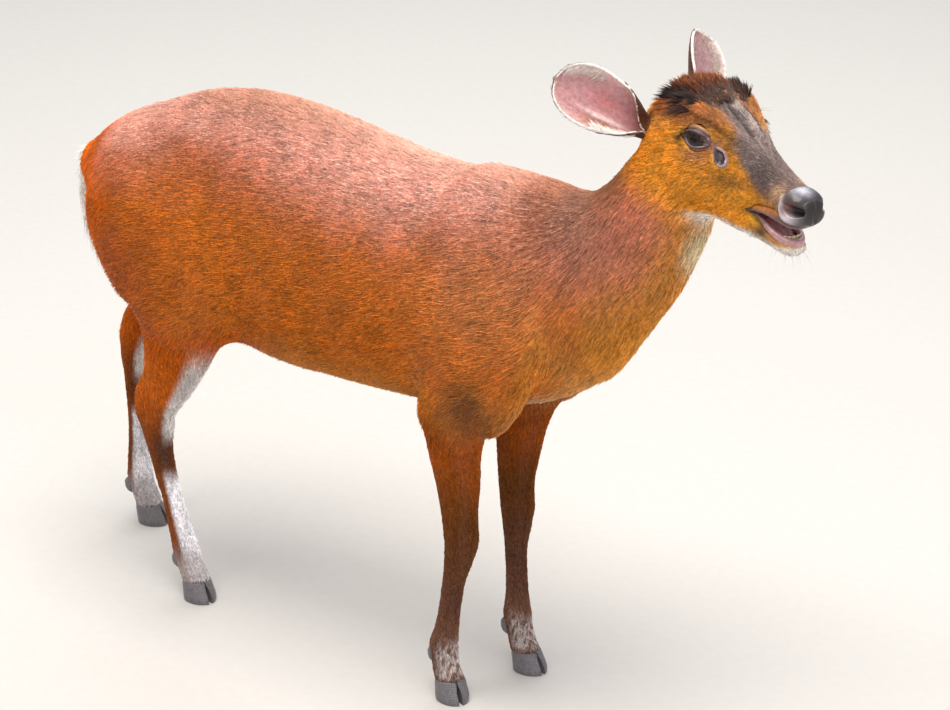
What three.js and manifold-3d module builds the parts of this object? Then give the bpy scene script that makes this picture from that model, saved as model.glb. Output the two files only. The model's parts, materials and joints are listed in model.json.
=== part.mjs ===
// A standing female red muntjac, life size, mouth a little open and head turned towards her right.
// Millimetres, +Z up. She faces +X, her left side is +Y, and her hooves stand on z = 0.
import * as THREE from "three";
import { mergeVertices } from "three/addons/utils/BufferGeometryUtils.js";
import Module from "manifold-3d";

const wasm = await Module();
wasm.setup();

// Driving dimensions
const GAP = 0.3; // clearance between neighbouring pieces
const ORIGIN_X = 23.6; // moves the middle of the whole animal onto the origin
const ORIGIN_Y = -5;

const HEAD_AT = [308, 11, 594]; // the point midway between the eyes
const HEAD_YAW = -17.5; // degrees, negative turns the muzzle to her right
const HEAD_PITCH = 3.2; // degrees, positive lifts the muzzle

const EYE_RADIUS = 14;
const EYE_AT = [-3, 25, 1]; // centre of the left eyeball, in the frame of the head
const LID_THICKNESS = 1.8;
const EAR_LENGTH = 97;
const EAR_THICKNESS = 2.4;

// Trunk: x, top, bottom, half width, squareness
const TRUNK = [
  [-425, 449, 398, 32, 2],
  [-407, 466, 378, 48, 2],
  [-378, 485, 352, 62, 2],
  [-335, 503, 322, 74, 2],
  [-285, 522, 299, 80, 2],
  [-225, 533, 277, 83, 2],
  [-165, 532, 269, 88, 2],
  [-105, 524, 271, 91, 2],
  [-45, 514, 273, 92, 2],
  [15, 510, 277, 88, 2],
  [70, 512, 286, 78, 2],
  [115, 512, 300, 66, 2],
  [155, 500, 320, 54, 2],
  [188, 480, 344, 42, 2],
];

// Neck: centre x, y, z, then half depth towards the nape, towards the throat, half width, squareness
const NECK = [
  [60, 0, 420, 84, 94, 70, 2],
  [110, 0, 425, 80, 102, 64, 2],
  [158, 1, 446, 66, 95, 55, 2],
  [196, 3, 474, 50, 81, 46, 2],
  [226, 5, 508, 41, 68, 40, 2],
  [248, 8, 544, 37, 56, 36, 2],
  [262, 10, 572, 33, 44, 33, 2],
];

// Right foreleg from the shoulder blade to the coronet: half sizes front, back, side, shared by both
const FORELEG_SIZES = [
  [26, 28, 12],
  [48, 48, 20],
  [60, 60, 23],
  [54, 56, 25],
  [40, 42, 24],
  [30, 31, 20],
  [23.5, 24, 17.5],
  [18.5, 19.5, 15.5],
  [17, 16.5, 15],
  [14.5, 14, 13.5],
  [11, 11.5, 11],
  [10.2, 11, 10.5],
  [11, 12, 11.5],
  [13, 14.5, 13],
  [12.5, 13, 13],
  [13.5, 13, 13.5],
  [14, 13, 13.5],
];
const FORELEG_RIGHT = [
  [104, -34, 466],
  [100, -52, 420],
  [98, -60, 368],
  [84, -60, 325],
  [67, -59, 293],
  [64, -58, 260],
  [67, -57, 225],
  [69, -57, 195],
  [70, -57, 168],
  [67, -57, 148],
  [62, -57, 124],
  [58, -57, 98],
  [54, -57, 74],
  [51, -57, 55],
  [51, -57, 41],
  [53, -57, 28],
  [57, -57, 17],
];
const FORELEG_LEFT = [
  [104, 34, 466],
  [100, 52, 420],
  [98, 58, 368],
  [86, 54, 325],
  [72, 47, 293],
  [66, 42, 260],
  [64, 39, 225],
  [63, 38, 195],
  [64, 37, 168],
  [64, 37, 148],
  [64, 36, 124],
  [65, 36, 98],
  [66, 36, 74],
  [67, 36, 55],
  [69, 36, 41],
  [73, 35, 28],
  [78, 35, 17],
];

// Hind legs from the hip to the coronet, in the same way
const HINDLEG_SIZES = [
  [40, 40, 18],
  [78, 71, 25],
  [94, 68, 29],
  [84, 52, 28],
  [60, 36, 24],
  [41, 30, 20],
  [29, 27, 16.5],
  [22, 28, 14.5],
  [19, 20, 14],
  [13.5, 13.5, 12],
  [11.2, 11.5, 10.5],
  [11, 11.5, 10.5],
  [12, 13, 12],
  [13, 14.5, 13],
  [12.5, 13, 13],
  [13.5, 13, 13.5],
  [14, 13, 13.5],
];
const HINDLEG_RIGHT = [
  [-325, -36, 450],
  [-322, -55, 408],
  [-306, -60, 365],
  [-288, -62, 325],
  [-287, -60, 290],
  [-295, -56, 255],
  [-308, -51, 225],
  [-321, -48, 198],
  [-323, -46, 176],
  [-320, -46, 152],
  [-312, -46, 120],
  [-303, -46, 90],
  [-295, -46, 66],
  [-289, -46, 49],
  [-286, -46, 38],
  [-281, -46, 27],
  [-277, -46, 17],
];
const HINDLEG_LEFT = [
  [-330, 36, 450],
  [-332, 55, 408],
  [-328, 62, 365],
  [-326, 65, 328],
  [-346, 64, 296],
  [-380, 63, 270],
  [-412, 62, 247],
  [-440, 61, 222],
  [-451, 60, 194],
  [-453, 60, 164],
  [-453, 60, 126],
  [-453, 60, 93],
  [-453, 60, 68],
  [-452, 60, 50],
  [-450, 60, 39],
  [-445, 60, 28],
  [-441, 60, 17],
];
const HOOF_YAW = { fore_right: -25, fore_left: -8, hind_right: -12, hind_left: 6 };

// Heights at which thin cuts part the legs: under the trunk, and at carpus or hock
const LEG_CUTS = {
  fore_right: [262, 162],
  fore_left: [262, 160],
  hind_right: [286, 188],
  hind_left: [288, 186],
};

// Tail, hanging: centre x, y, z, then half sizes back, front, side
const TAIL = [
  [-404, 0, 440, 11, 11, 12],
  [-424, 0, 434, 10, 10, 14],
  [-436, 0, 411, 8, 8, 18],
  [-437, 0, 378, 7, 7, 21],
  [-429, 0, 346, 6, 6, 19],
  [-415, 0, 322, 5, 5, 14],
  [-404, 0, 308, 4, 4, 8],
];

// The head in its own frame: u forwards, v to her left, w up, from the point between the eyes.
// Skull and upper muzzle: u, top, bottom, half width, squareness
const SKULL = [
  [-82, 18, -30, 27, 2.1],
  [-66, 29, -48, 35, 2.2],
  [-46, 36, -60, 39, 2.3],
  [-26, 38, -68, 40, 2.4],
  [-8, 34, -72, 39, 2.4],
  [10, 24, -74, 35, 2.3],
  [26, 13, -75, 30, 2.2],
  [40, 4, -70, 26, 2.2],
  [50, -3, -57, 23.5, 2.2],
  [60, -10, -49.5, 21.5, 2.2],
  [72, -16, -50, 19.5, 2.2],
  [83, -20.5, -52, 18.2, 2.2],
  [93, -24.5, -54.5, 17.5, 2.2],
  [101, -27, -55, 16, 2.2],
];
// Lower jaw with its lip, held open: u, top, bottom, half width, squareness
const JAW = [
  [10, -50, -72, 20, 2.2],
  [36, -50, -78, 22, 2.2],
  [50, -50, -80, 19.5, 2.2],
  [60, -56, -82, 17, 2.2],
  [73, -63, -84.5, 15.2, 2.2],
  [84, -69, -87, 13.5, 2.2],
  [91, -72, -87, 11.5, 2.2],
];
const JAW_FREE_FROM = 2; // the row from which the jaw hangs clear of the skull

// Nose pad: u, top, bottom, half width, squareness
const NOSE_PAD = [
  [88, -26, -53, 15, 2.3],
  [96, -23, -58, 18.5, 2.4],
  [106, -26, -58.5, 17.5, 2.4],
  [113, -33, -55, 13, 2.3],
];

// Tongue: u, top, bottom, half width, squareness
const TONGUE = [
  [54, -54, -61, 9, 2],
  [66, -59, -68, 10, 2],
  [76, -64.5, -74, 9.5, 2],
  [82, -69, -77, 7, 2],
];

const RAD = Math.PI / 180;
const vec = (p) => new THREE.Vector3(...p);

// A row of a table between its rows, on a Catmull-Rom curve; t counts rows
function between(rows, t) {
  const i = Math.min(Math.floor(t), rows.length - 2);
  const f = t - i;
  const at = (k) => rows[Math.max(0, Math.min(rows.length - 1, k))];
  return rows[i].map((p1, c) => {
    const p0 = at(i - 1)[c];
    const p2 = at(i + 1)[c];
    const p3 = at(i + 2)[c];
    return (
      p1 +
      0.5 *
        f *
        (p2 - p0 + f * (2 * p0 - 5 * p1 + 4 * p2 - p3 + f * (3 * (p1 - p2) + p3 - p0)))
    );
  });
}

// Rings of points, in order, skinned into one closed body. Each end is closed by a fan, or by a strip
// where the ring is a thin curl whose points face each other in pairs.
function skin(rings, ends = "fan") {
  const sides = rings[0].length;
  const points = rings.flat();
  const last = (rings.length - 1) * sides;
  const faces = [];
  for (let j = 0; j < sides; j++) {
    const next = (j + 1) % sides;
    for (let i = 0; i < last; i += sides) {
      faces.push([i + j, i + next, i + sides + next], [i + j, i + sides + next, i + sides + j]);
    }
  }
  if (ends === "fan") {
    const middle = (ring) => ring.reduce((s, p) => s.add(p), vec([0, 0, 0])).divideScalar(sides);
    const first = points.length;
    points.push(middle(rings[0]), middle(rings.at(-1)));
    for (let j = 0; j < sides; j++) {
      const next = (j + 1) % sides;
      faces.push([first, next, j], [first + 1, last + j, last + next]);
    }
  } else {
    for (let j = 0; j < sides / 2 - 1; j++) {
      const facing = sides - 1 - j;
      faces.push([j, facing - 1, j + 1], [j, facing, facing - 1]);
      faces.push([last + j, last + j + 1, last + facing - 1], [last + j, last + facing - 1, last + facing]);
    }
  }
  const volume = faces.reduce(
    (sum, [i, j, k]) => sum + points[i].dot(points[j].clone().cross(points[k])),
    0,
  );
  const outward = volume > 0 ? faces : faces.map(([i, j, k]) => [i, k, j]);
  return new THREE.BufferGeometry().setFromPoints(points).setIndex(outward.flat());
}

// A body lofted along table rows of centre, half size along the hint axis and against it, half size
// across, and squareness. Domes round its ends off over the given lengths. Its rings stand across the
// line of centres, or all face one way.
function loft(rows, { hint, sides, steps = 1, domes = [0, 0], grow = 0, facing = null }) {
  const full = rows.map((r) => (r.length < 7 ? [...r, 2] : r));
  const count = (rows.length - 1) * steps;
  const centres = [];
  for (let k = 0; k <= count; k++) centres.push(between(full, k / steps));
  const stations = centres.map((row, k) => {
    const before = vec(centres[Math.max(0, k - 1)].slice(0, 3));
    const after = vec(centres[Math.min(count, k + 1)].slice(0, 3));
    const tangent = facing ? vec(facing) : after.sub(before).normalize();
    return { row, tangent, shift: 0, scale: 1 };
  });
  const dome = (station, length, sign) =>
    [0.45, 0.8, 0.97].map((s) => ({
      ...station,
      shift: sign * s * length,
      scale: Math.sqrt(1 - s * s),
    }));
  if (domes[0]) stations.unshift(...dome(stations[0], domes[0], -1).reverse());
  if (domes[1]) stations.push(...dome(stations.at(-1), domes[1], 1));
  return skin(stations.map((s) => ring(s, vec(hint), sides, grow)));
}

// One ring of a loft: a rounded outline across the tangent
function ring({ row, tangent, shift, scale }, hint, sides, grow) {
  const [x, y, z, along, against, across, power] = row;
  const a = hint.clone().addScaledVector(tangent, -hint.dot(tangent)).normalize();
  const b = tangent.clone().cross(a);
  const centre = vec([x, y, z]).addScaledVector(tangent, shift);
  const bend = (c) => Math.sign(c) * Math.abs(c) ** (2 / power);
  return Array.from({ length: sides }, (_, j) => {
    const angle = (2 * Math.PI * j) / sides;
    const c = Math.cos(angle);
    const s = Math.sin(angle);
    const half = c > 0 ? along : against;
    return centre
      .clone()
      .addScaledVector(a, bend(c) * (half * scale + grow))
      .addScaledVector(b, bend(s) * (across * scale + grow));
  });
}

// Rows of station, top, bottom, half width and squareness as loft rows on a level line
const levelRows = (rows) =>
  rows.map(([x, top, bottom, half, power]) => [
    x,
    0,
    (top + bottom) / 2,
    (top - bottom) / 2,
    (top - bottom) / 2,
    half,
    power,
  ]);

// A closed geometry as a solid
function solid(geometry, matrix) {
  const bare = geometry.clone();
  bare.deleteAttribute("normal");
  bare.deleteAttribute("uv");
  if (matrix) bare.applyMatrix4(matrix);
  const merged = mergeVertices(bare, 1e-3);
  return new wasm.Manifold(
    new wasm.Mesh({
      numProp: 3,
      vertProperties: merged.attributes.position.array,
      triVerts: new Uint32Array(merged.index.array),
    }),
  );
}

// The largest closed piece of a solid, so that no scrap is left of a cut
const largest = (body) =>
  body.decompose().reduce((best, piece) => (piece.volume() > best.volume() ? piece : best));

// The piece of a cut body that lies nearest a point
function pieceAt(pieces, point) {
  const distance = (piece) => {
    const { min, max } = piece.boundingBox();
    const centre = vec(min).add(vec(max)).multiplyScalar(0.5);
    return centre.distanceTo(vec(point));
  };
  return pieces.reduce((best, piece) => (distance(piece) < distance(best) ? piece : best));
}

// A thin round slab across a limb, used to part it
function slab(centre, normal, radius) {
  const disc = new THREE.CylinderGeometry(radius, radius, GAP, 24);
  const turn = new THREE.Quaternion().setFromUnitVectors(vec([0, 1, 0]), vec(normal).normalize());
  return solid(disc, new THREE.Matrix4().compose(vec(centre), turn, vec([1, 1, 1])));
}


const headFrame = new THREE.Matrix4()
  .makeTranslation(...HEAD_AT)
  .multiply(new THREE.Matrix4().makeRotationZ(HEAD_YAW * RAD))
  .multiply(new THREE.Matrix4().makeRotationY(-HEAD_PITCH * RAD));
const onHead = (p) => vec(p).applyMatrix4(headFrame);
const turnOnHead = (p) => vec(p).transformDirection(headFrame);

// Trunk, neck and legs
const UP = [0, 0, 1];
const FORE = [1, 0, 0];
const trunkLoft = (grow = 0) =>
  solid(loft(levelRows(TRUNK), { hint: UP, facing: FORE, sides: 24, domes: [16, 22], grow }));
const neckLoft = (grow = 0) =>
  solid(loft(NECK, { hint: [-1, 0, 1], sides: 22, domes: [0, 20], grow }));

const withSizes = (centres, sizes) => centres.map((centre, i) => [...centre, ...sizes[i]]);
const LEGS = {
  fore_right: withSizes(FORELEG_RIGHT, FORELEG_SIZES),
  fore_left: withSizes(FORELEG_LEFT, FORELEG_SIZES),
  hind_right: withSizes(HINDLEG_RIGHT, HINDLEG_SIZES),
  hind_left: withSizes(HINDLEG_LEFT, HINDLEG_SIZES),
};
const legLoft = (rows, grow = 0) => solid(loft(rows, { hint: FORE, sides: 14, grow }));

// A tapered lock of hair: root point, direction, the direction its width lies in, length, width, and a
// bend that carries its tip aside
function lock(root, direction, across, length, width, bend) {
  const d = direction.clone().normalize();
  const side = across.clone().addScaledVector(d, -across.dot(d)).normalize();
  const flat = side.clone().cross(d);
  const shares = [
    [-0.4, 0.8],
    [0.25, 1],
    [0.75, 0.8],
    [1, 0.3],
  ];
  const corners = [
    [0.5, 0],
    [0, 0.3],
    [-0.5, 0],
    [0, -0.3],
  ];
  const rings = shares.map(([t, size]) => {
    const centre = root
      .clone()
      .addScaledVector(d, t * length)
      .addScaledVector(vec(bend), Math.max(0, t) ** 2);
    return corners.map(([a, b]) =>
      centre
        .clone()
        .addScaledVector(side, a * size * width)
        .addScaledVector(flat, b * size * width),
    );
  });
  return solid(skin(rings));
}
THREE.MathUtils.seededRandom(7);
const random = (low, high) => low + (high - low) * THREE.MathUtils.seededRandom();

// Head
const headLoft = (rows, options) =>
  solid(loft(levelRows(rows), { hint: UP, facing: FORE, ...options }), headFrame);
const skullLoft = (grow = 0) => headLoft(SKULL, { sides: 24, domes: [14, 6], grow });
const jawHinge = headLoft(JAW.slice(0, JAW_FREE_FROM + 1), { sides: 18, domes: [8, 0] });
const BROW = [
  [-34, 27, 22, 3, 3, 4],
  [-20, 26, 28, 4.5, 5, 6],
  [-6, 24, 26.5, 5, 5, 8],
  [12, 19, 18, 4.5, 5, 7],
  [30, 13, 6.5, 4, 4, 6],
  [46, 8, -5, 2.5, 3, 4],
];
const brows = [-1, 1].map((side) =>
  solid(
    loft(BROW.map(([u, v, ...rest]) => [u, side * v, ...rest]), { hint: UP, sides: 10, domes: [4, 3] }),
    headFrame,
  ),
);
let head = [jawHinge, ...brows].reduce((sum, part) => sum.add(part), skullLoft());

// The crest on the crown, over and between the rear ends of the brows
const CREST_CORE = { at: [-33, 0, 33], size: [25, 17, 9] };
const CREST_LOCK = { length: 22, width: 12 };
const crest = [
  solid(
    new THREE.SphereGeometry(1, 12, 8).scale(...CREST_CORE.size).translate(...CREST_CORE.at),
    headFrame,
  ),
];
function crestLock(u, v, lean, spread, share) {
  const row = levelRows(SKULL).findIndex(([x]) => x > u);
  const [before, after] = [SKULL[row - 1], SKULL[row]];
  const t = (u - before[0]) / (after[0] - before[0]);
  const [top, bottom, half, power] = [1, 2, 3, 4].map((k) => before[k] + t * (after[k] - before[k]));
  const w = (top + bottom) / 2 + ((top - bottom) / 2) * (1 - (Math.abs(v) / half) ** power) ** (1 / power);
  const length = CREST_LOCK.length * share * random(0.85, 1.1);
  const direction = turnOnHead([-lean, spread, 1]);
  const across = turnOnHead([-spread, 1, 0]);
  return lock(onHead([u, v, w]), direction, across, length, CREST_LOCK.width, [-0.12 * length, 0, 0]);
}
for (let i = 0; i < 5; i++) {
  const u = -8 - 10 * i;
  for (const j of [-1.5, -0.5, 0.5, 1.5]) {
    const v = j * 8 + random(-1.5, 1.5);
    crest.push(crestLock(u + random(-2, 2), v, 0.5 + 0.22 * i + random(0, 0.25), 0.06 * j, 1 - 0.05 * i));
  }
  for (const side of [-1, 1]) {
    crest.push(crestLock(-16 - 8 * i, side * (19 + 2 * i), 1.1 + random(0, 0.4), side * 0.8, 0.8));
  }
}
head = crest.reduce((sum, part) => sum.add(part), head);

// Lids: a shell round each eyeball, open in an almond that tips down towards the nose
const eyeball = (side, grow) =>
  solid(
    new THREE.SphereGeometry(EYE_RADIUS + grow, 16, 10).rotateX((-side * Math.PI) / 2)
      .translate(EYE_AT[0], side * EYE_AT[1], EYE_AT[2]),
    headFrame,
  );
const ALMOND = [
  [-6, 12, 0, 5.5, 6, 9, 1.6],
  [-1.5, 31, 2, 6.5, 7, 11.8, 1.6],
  [2, 46, 3.5, 7.5, 8.5, 13.5, 1.6],
];
const almond = (side) =>
  solid(
    loft(ALMOND.map(([u, v, ...rest]) => [u, side * v, ...rest]), { hint: [0.24, 0, 0.97], sides: 16 }),
    headFrame,
  );
for (const side of [-1, 1]) {
  const lid = eyeball(side, LID_THICKNESS);
  head = head.add(lid).subtract(eyeball(side, GAP)).subtract(almond(side));
}

// The scent gland, a comma shaped pit below the front corner of each eye
const GLAND = [
  [16, 34, -5, 1.8, 1.8, 3],
  [22, 32, -9, 3, 3, 4],
  [26, 30.5, -15, 4.2, 4.2, 4],
];
const gland = (side) =>
  solid(
    loft(GLAND.map(([u, v, ...rest]) => [u, side * v, ...rest]), { hint: FORE, sides: 10, domes: [1, 3] }),
    headFrame,
  );
for (const side of [-1, 1]) head = head.subtract(gland(side));

// Nose pad with its two nostrils, and the palate, jaw, tongue and teeth of the open mouth
const nosePad = (grow = 0) => headLoft(NOSE_PAD, { sides: 20, domes: [0, 3], grow });
const NOSTRIL = [
  [97, 23, -36, 2.5, 2.5, 5],
  [104, 15, -40, 4.5, 5, 6],
  [109, 8.5, -41, 3, 3.5, 5],
];
const nostril = (side) =>
  solid(
    loft(NOSTRIL.map(([u, v, ...rest]) => [u, side * v, ...rest]), { hint: UP, sides: 12, domes: [3, 2] }),
    headFrame,
  );
head = head.subtract(nosePad(GAP));
const nose = [-1, 1].reduce((pad, side) => pad.subtract(nostril(side)), nosePad());

const PALATE = [
  [56, -45.5, -58, 11, 2],
  [72, -47.5, -62, 11.5, 2],
  [86, -51, -64, 9, 2],
];
head = head.subtract(headLoft(PALATE, { sides: 16, domes: [3, 3] }));

const tongue = headLoft(TONGUE, { sides: 14, steps: 2, domes: [0, 5] });
const tongueRoom = headLoft(TONGUE, { sides: 14, steps: 2, domes: [0, 5], grow: GAP });
const MOUTH_FLOOR = [
  [56, -51, -63, 12, 2],
  [67, -57, -70, 11, 2],
  [78, -62, -76, 9.5, 2],
  [85, -64, -79, 7, 2],
];
const INCISORS = 8;
const TOOTH = [3.4, 2.2, 7]; // width, thickness, height
const toothRow = (grow) => {
  const teeth = Array.from({ length: INCISORS }, (_, i) => {
    const swing = ((i - (INCISORS - 1) / 2) * 20 * Math.PI) / 180;
    const size = TOOTH.map((edge) => edge + 2 * grow);
    const block = new THREE.BoxGeometry(size[1], size[0], size[2]);
    block.rotateY(0.45).rotateZ(swing).translate(78.5 + 9 * Math.cos(swing), 9.4 * Math.sin(swing), -72.5);
    return solid(block, headFrame);
  });
  return teeth.reduce((row, tooth) => row.add(tooth));
};
const freeJaw = headLoft(JAW.slice(JAW_FREE_FROM), { sides: 18, domes: [0, 6] })
  .subtract(headLoft(MOUTH_FLOOR, { sides: 14, domes: [3, 4] }))
  .subtract(tongueRoom)
  .subtract(toothRow(GAP))
  .subtract(head)
  .subtract(slab(onHead([JAW[JAW_FREE_FROM][0], 0, -60]).toArray(), turnOnHead([1, 0, 0]).toArray(), 40));

// Ears: a cupped leaf, rolled to a tube at its root
const EAR = [
  // share of length, half width, roll in degrees
  [0, 9, 165],
  [0.12, 11, 140],
  [0.25, 17, 105],
  [0.4, 23, 78],
  [0.55, 26.5, 66],
  [0.7, 27, 58],
  [0.83, 23.5, 52],
  [0.93, 16.5, 47],
  [0.99, 7, 42],
];
const EARS = {
  right: { root: [-66, -30, -6], along: [-0.56, -0.68, 0.5], opening: [0.82, -0.46, 0.33] },
  left: { root: [-54, 17, -9], along: [-0.52, 0.36, 0.77], opening: [0.72, 0.55, 0.4] },
};
function ear({ root, along, opening }) {
  const length = vec(along).normalize();
  const facing = vec(opening).addScaledVector(length, -vec(opening).dot(length)).normalize();
  const across = length.clone().cross(facing);
  const columns = 8;
  const rings = EAR.map(([share, half, roll]) => {
    const limit = roll * RAD;
    const radius = half / Math.sin(Math.min(limit, Math.PI / 2));
    const lean = 10 * share * share;
    const arc = (r, sign) =>
      Array.from({ length: columns + 1 }, (_, j) => {
        const angle = sign * limit * ((2 * j) / columns - 1);
        return vec(root)
          .addScaledVector(length, share * EAR_LENGTH)
          .addScaledVector(across, r * Math.sin(angle))
          .addScaledVector(facing, radius - r * Math.cos(angle) - 9 + lean);
      });
    return [...arc(radius, 1), ...arc(Math.max(radius - EAR_THICKNESS, 0.3 * radius), -1)];
  });
  return solid(skin(rings, "strip"), headFrame);
}

// Tail with its fringe
const TAIL_LOCK = { length: 34, width: 17 };
let tail = solid(loft(TAIL, { hint: FORE, sides: 10, domes: [0, 6] }));
for (let i = 0; i < 8; i++) {
  const [x, y, z, , , half] = between(TAIL, 1.7 + 0.55 * i);
  for (const side of [-1, 1]) {
    const root = vec([x - 1, y + side * 0.5 * half, z]);
    const direction = vec([0.06, side * random(0.14, 0.3), -1]);
    const length = TAIL_LOCK.length * random(0.85, 1.1);
    tail = tail.add(lock(root, direction, vec([0, 1, 0]), length, TAIL_LOCK.width, [0, -side * 5, 0]));
  }
}

// Parting the body
let whole = trunkLoft().add(neckLoft()).add(head);
for (const rows of Object.values(LEGS)) whole = whole.add(legLoft(rows));
const round = whole.add(skullLoft(GAP)).add(neckLoft(GAP));
const NECK_CUT = { at: [163, 0, 430], facing: [0.86, 0, 0.51], radius: 112 };
const HEAD_CUT = { at: [-64, 0, -46], facing: [0.8, 0, 0.6], radius: 75 };
whole = whole.subtract(slab(NECK_CUT.at, NECK_CUT.facing, NECK_CUT.radius));
whole = whole.subtract(
  slab(onHead(HEAD_CUT.at).toArray(), turnOnHead(HEAD_CUT.facing).toArray(), HEAD_CUT.radius),
);
const atHeight = (rows, z) => {
  const i = rows.findIndex((row) => row[2] < z) - 1;
  const t = (rows[i][2] - z) / (rows[i][2] - rows[i + 1][2]);
  return rows[i].map((value, k) => value + t * (rows[i + 1][k] - value));
};
for (const [name, rows] of Object.entries(LEGS)) {
  for (const z of LEG_CUTS[name]) {
    const [x, y, , front, back, across] = atHeight(rows, z);
    const length = 3.4 * Math.max(front, back) + 12;
    const sheet = new THREE.BoxGeometry(length, 3 * across + 16, GAP).translate(x, y, z);
    whole = whole.subtract(solid(sheet));
  }
}
tail = tail.subtract(trunkLoft(GAP));

// Hooves: each is lofted from the coronet to a flat sole and split in two, with a pair of dewclaws above
const SOLE = { front: 20, back: 15, side: 15 };
function hoofHalves(name) {
  const rows = LEGS[name];
  const [x, y, z, front, back, across] = rows.at(-1);
  const tangent = vec([x, y, z]).sub(vec(rows.at(-2).slice(0, 3))).normalize();
  const yaw = HOOF_YAW[name] * RAD;
  const hint = vec([Math.cos(yaw), Math.sin(yaw), 0]);
  const down = vec([0, 0, -1]);
  const forward = [x + 3 * Math.cos(yaw), y + 3 * Math.sin(yaw)];
  const stations = [
    { row: [x, y, z, front + 1.5, back + 1.5, across + 1.5, 2], tangent, shift: GAP, scale: 1 },
    { row: [...forward, 6, 19, 15.5, 16, 2], tangent: down, shift: 0, scale: 1 },
    { row: [...forward, 0, SOLE.front, SOLE.back, SOLE.side, 1.9], tangent: down, shift: 0, scale: 1 },
  ];
  const hoof = solid(skin(stations.map((s) => ring(s, hint, 16, 0))));
  const cleft = new THREE.BoxGeometry(70, 1.4, 60);
  const corners = cleft.attributes.position;
  for (let i = 0; i < corners.count; i++) if (corners.getX(i) > 0) corners.setY(i, corners.getY(i) * 4);
  cleft.rotateZ(yaw).translate(x, y, 10);
  const [one, two] = hoof
    .subtract(solid(cleft))
    .decompose()
    .sort((p, q) => q.volume() - p.volume());
  const middle = (body) => (body.boundingBox().min[1] + body.boundingBox().max[1]) / 2;
  return middle(one) > middle(two) ? { left: one, right: two } : { left: two, right: one };
}
const DEWCLAW_ROW = 14;
function dewclaw(name, side) {
  const [x, y, z, , back] = LEGS[name][DEWCLAW_ROW];
  const yaw = HOOF_YAW[name] * RAD;
  const claw = new THREE.SphereGeometry(1, 8, 5)
    .scale(6, 5, 9)
    .rotateY(-0.4)
    .translate(2 - back, side * 7.5, 0)
    .rotateZ(yaw)
    .translate(x, y, z);
  return largest(solid(claw).subtract(legLoft(LEGS[name], GAP)));
}

// Naming each piece of the parted body by where it lies
const pieces = whole.decompose();
const group = new THREE.Group();
group.name = "muntjac";
group.position.set(ORIGIN_X, ORIGIN_Y, 0);

function addNode(name, body, look) {
  const mesh = body.getMesh();
  const geometry = new THREE.BufferGeometry()
    .setAttribute("position", new THREE.BufferAttribute(mesh.vertProperties, 3))
    .setIndex(new THREE.BufferAttribute(mesh.triVerts, 1));
  geometry.computeVertexNormals();
  const node = new THREE.Mesh(geometry, new THREE.MeshStandardMaterial(look));
  node.name = name;
  group.add(node);
}

const RED_COAT = { color: "#a8571f", roughness: 0.85 };
const DARK_LEG = { color: "#5e3a24", roughness: 0.85 };
const EAR_SKIN = { color: "#b08a84", roughness: 0.7 };
const WHITE_HAIR = { color: "#e9e4da", roughness: 0.9 };
const HORN = { color: "#3b3634", roughness: 0.45 };
const NOSE = { color: "#3a3236", roughness: 0.25 };
const EYE = { color: "#1d120c", roughness: 0.05 };
const TONGUE_PINK = { color: "#a85f66", roughness: 0.35 };
const ENAMEL = { color: "#d8cba4", roughness: 0.3 };

const headPiece = pieceAt(pieces, onHead([10, 0, -20]).toArray());
addNode("torso", pieceAt(pieces, [-100, 0, 400]), RED_COAT);
addNode("neck", pieceAt(pieces, [200, 0, 460]), RED_COAT);
addNode("head", largest(headPiece), RED_COAT);
addNode("jaw", largest(freeJaw), RED_COAT);
addNode("nose_pad", largest(nose), NOSE);
addNode("tongue", largest(tongue.subtract(head).subtract(toothRow(GAP))), TONGUE_PINK);
addNode("teeth", largest(toothRow(0)), ENAMEL);
for (const [name, side] of Object.entries({ right: -1, left: 1 })) {
  addNode(`eye_${name}`, eyeball(side, 0), EYE);
  addNode(`ear_${name}`, largest(ear(EARS[name]).subtract(round)), EAR_SKIN);
}
addNode("tail", largest(tail), WHITE_HAIR);
for (const [name, rows] of Object.entries(LEGS)) {
  const [high, low] = LEG_CUTS[name];
  addNode(`leg_${name}_upper`, pieceAt(pieces, atHeight(rows, (high + low) / 2).slice(0, 3)), RED_COAT);
  addNode(`leg_${name}_lower`, pieceAt(pieces, atHeight(rows, low / 2 + 8).slice(0, 3)), DARK_LEG);
  const halves = hoofHalves(name);
  for (const side of ["left", "right"]) {
    addNode(`hoof_${name}_${side}`, halves[side], HORN);
    addNode(`dewclaw_${name}_${side}`, dewclaw(name, side === "left" ? 1 : -1), HORN);
  }
}

export default group;
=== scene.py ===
# %% [markdown]
# # A still, life-size model of a female red muntjac
# She stands as a museum shows such a deer: head turned to her right, mouth a little open. The packed
# solids are the fixed frame. This script dresses them: one skin for all her flesh, a coat of thin
# tufts over it, and finer eyes, lids, ears, nose, mouth, hooves and tail. Every size in the tables is
# in millimetres, in the axes of the solids' source: +X forwards, +Y to her left, +Z up.

# %% Load the frame
import json
import math

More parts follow.
